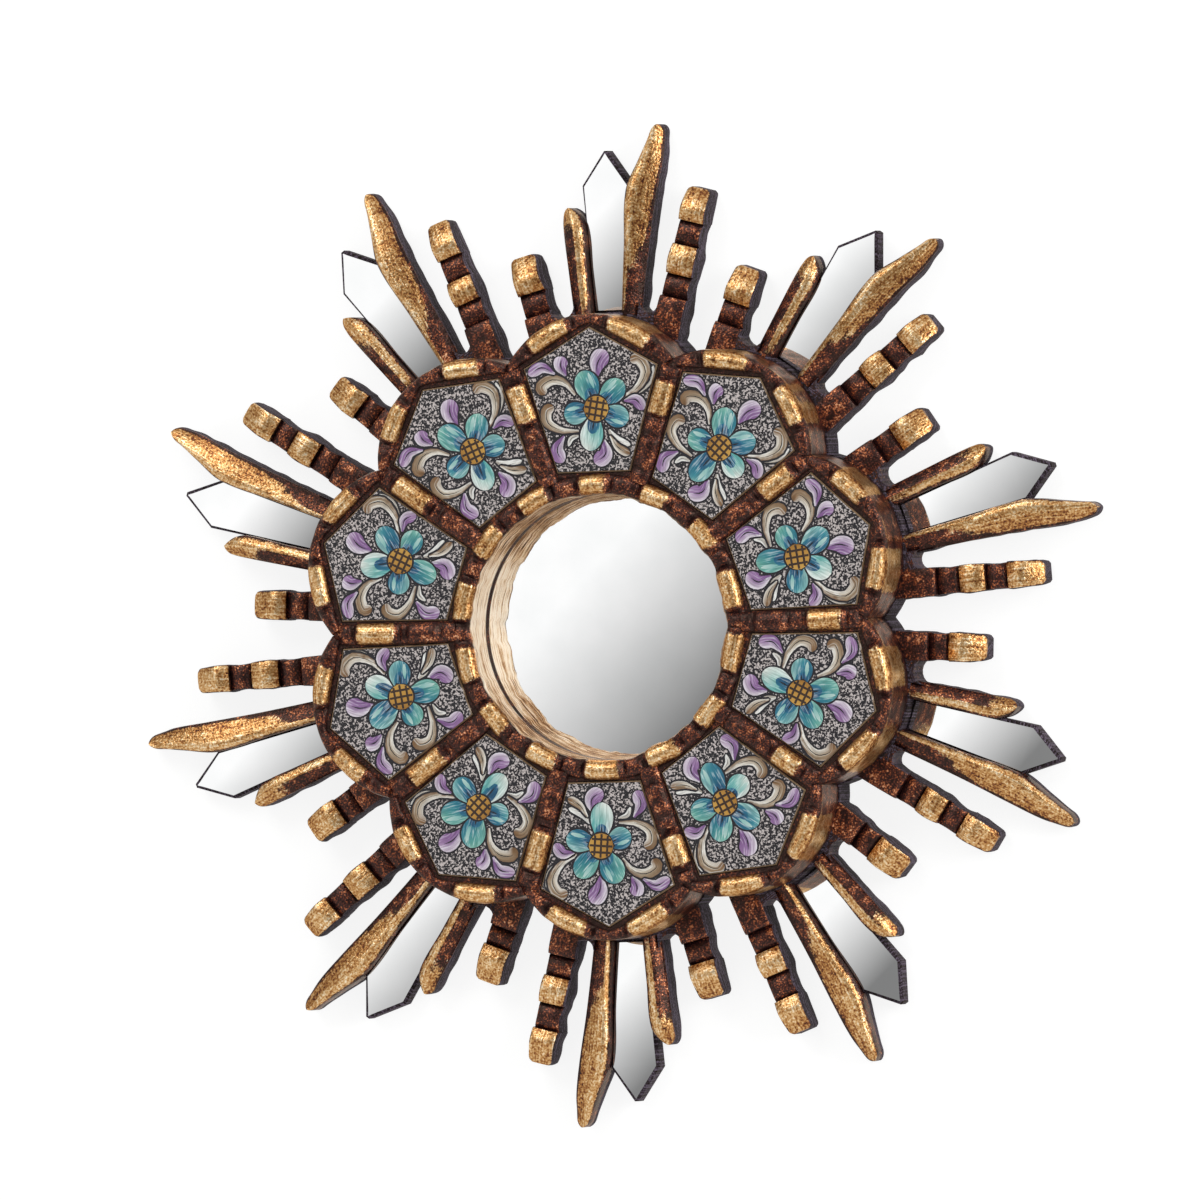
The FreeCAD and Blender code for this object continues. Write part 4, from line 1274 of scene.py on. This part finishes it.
def pale_sheet(name, near, far):
    """A white sheet seen and mirrored only from its front, which takes the object's shadow."""
    mesh = bpy.data.meshes.new(name)
    ends = [(-SHEET_REACH, *near), (SHEET_REACH, *near), (SHEET_REACH, *far), (-SHEET_REACH, *far)]
    mesh.from_pydata(ends, [], [(0, 1, 2, 3)])
    material = bpy.data.materials.new(name)
    material.use_nodes = True
    tree = material.node_tree
    tree.nodes.clear()
    straight = add(tree, "LightPath", out="Is Camera Ray")
    glossy = straight.node.outputs["Is Glossy Ray"]
    met = add(tree, "Math", {0: straight, 1: glossy}, operation="MAXIMUM")
    behind = add(tree, "NewGeometry", out="Backfacing")
    front = add(tree, "Math", {0: met, 1: behind}, operation="SUBTRACT", use_clamp=True)
    paint = add(tree, "BsdfDiffuse", {"Color": colour(SHEET_PAINT)})
    glow = add(tree, "Emission", {"Strength": SHEET_GLOW})
    lit = add(tree, "AddShader", {0: paint, 1: glow})
    clear = add(tree, "BsdfTransparent")
    seen = add(tree, "MixShader", {0: front, 1: clear, 2: lit})
    add(tree, "OutputMaterial", {"Surface": seen})
    new_piece(name, mesh, material)


pale_sheet("pale_wall", (WALL_BEHIND, -SHEET_REACH), (WALL_BEHIND, SHEET_REACH))
pale_sheet("pale_floor", (FLOOR_FRONT, FLOOR_DOWN), (SHEET_REACH, FLOOR_DOWN))

VIEW_AZIMUTH = 17.0
VIEW_DISTANCE = 8.0
VIEW_WIDTH = 0.4385
VIEW_ROLL = -1.9
SENSOR = 36.0
AIM_LEFT = 0.0053
AIM_UP = 0.0098
# Light from all round, and the two ways along which what the mirrors show changes
AMBIENT = 0.52
SLANT = (0.7, 0.0, -0.7)
RIGHTWARD = (0.95, 0.0, 0.3)


def studio():
    """White studio; mirrors show it white at the upper left, then grey, and light far to the right."""
    world = bpy.data.worlds.new("white_studio")
    bpy.context.scene.world = world
    world.use_nodes = True
    tree = world.node_tree
    tree.nodes.clear()
    way = add(tree, "TexCoord", out="Generated")
    slant, rightward = (
        add(tree, "VectorMath", {0: way, 1: axis}, out="Value", operation="DOT_PRODUCT")
        for axis in (SLANT, RIGHTWARD)
    )
    faced = -SLANT[0] * math.sin(math.radians(VIEW_AZIMUTH))
    far, falling, right = (
        add(
            tree,
            "MapRange",
            {"Value": value, "From Min": low, "From Max": high, "To Min": first, "To Max": last},
        )
        for value, low, high, first, last in (
            (slant, -0.9, -0.4, 0.5, 1.04),
            (slant, faced - 0.038, faced + 0.088, 1.04, 0.23),
            (rightward, 0.35, 0.85, 0.0, 0.9),
        )
    )
    left = add(tree, "Math", {0: far, 1: falling}, operation="MINIMUM")
    graded = add(tree, "Math", {0: left, 1: right}, operation="MAXIMUM")
    ambient, reflected, white = (
        add(tree, "Background", {"Color": (1, 1, 1, 1), "Strength": strength})
        for strength in (AMBIENT, graded, 1.0)
    )
    straight = add(tree, "LightPath", out="Is Camera Ray")
    glossy = straight.node.outputs["Is Glossy Ray"]
    through_glass = straight.node.outputs["Is Transmission Ray"]
    bounced = add(tree, "MixShader", {0: glossy, 1: ambient, 2: reflected})
    direct = add(tree, "Math", {0: straight, 1: through_glass}, operation="MAXIMUM")
    seen = add(tree, "MixShader", {0: direct, 1: bounced, 2: white})
    add(tree, "OutputWorld", {"Surface": seen})


def soft_lamp(name, place, size, power):
    """A round soft lamp that faces the mirror."""
    data = bpy.data.lights.new(name, "AREA")
    data.shape = "DISK"
    data.size = size
    data.energy = power
    lamp = bpy.data.objects.new(name, data)
    lamp.location = place
    lamp.rotation_euler = (-Vector(place)).to_track_quat("-Z", "Y").to_euler()
    bpy.context.scene.collection.objects.link(lamp)


def camera():
    """Long lens to the right of the mirror, level with it and rolled as in the photograph."""
    data = bpy.data.cameras.new("camera")
    data.sensor_width = SENSOR
    data.lens = SENSOR * VIEW_DISTANCE / VIEW_WIDTH
    eye = bpy.data.objects.new("camera", data)
    angle = math.radians(VIEW_AZIMUTH)
    back = Vector((math.sin(angle), -math.cos(angle), 0))
    right = Vector((math.cos(angle), math.sin(angle), 0))
    aim = Vector((0, -BOARD * MM, 0)) - right * AIM_LEFT + Vector((0, 0, AIM_UP))
    eye.location = aim + back * VIEW_DISTANCE
    look = (-back).to_track_quat("-Z", "Y").to_euler()
    look.rotate_axis("Z", math.radians(VIEW_ROLL))
    eye.rotation_euler = look
    bpy.context.scene.collection.objects.link(eye)
    bpy.context.scene.camera = eye


studio()
soft_lamp("key_lamp", place=(-1.0, -2.2, 2.0), size=1.8, power=30)
soft_lamp("side_lamp", place=(2.3, -1.2, 0.6), size=1.5, power=34)
camera()
bpy.context.scene.view_settings.view_transform = "Standard"
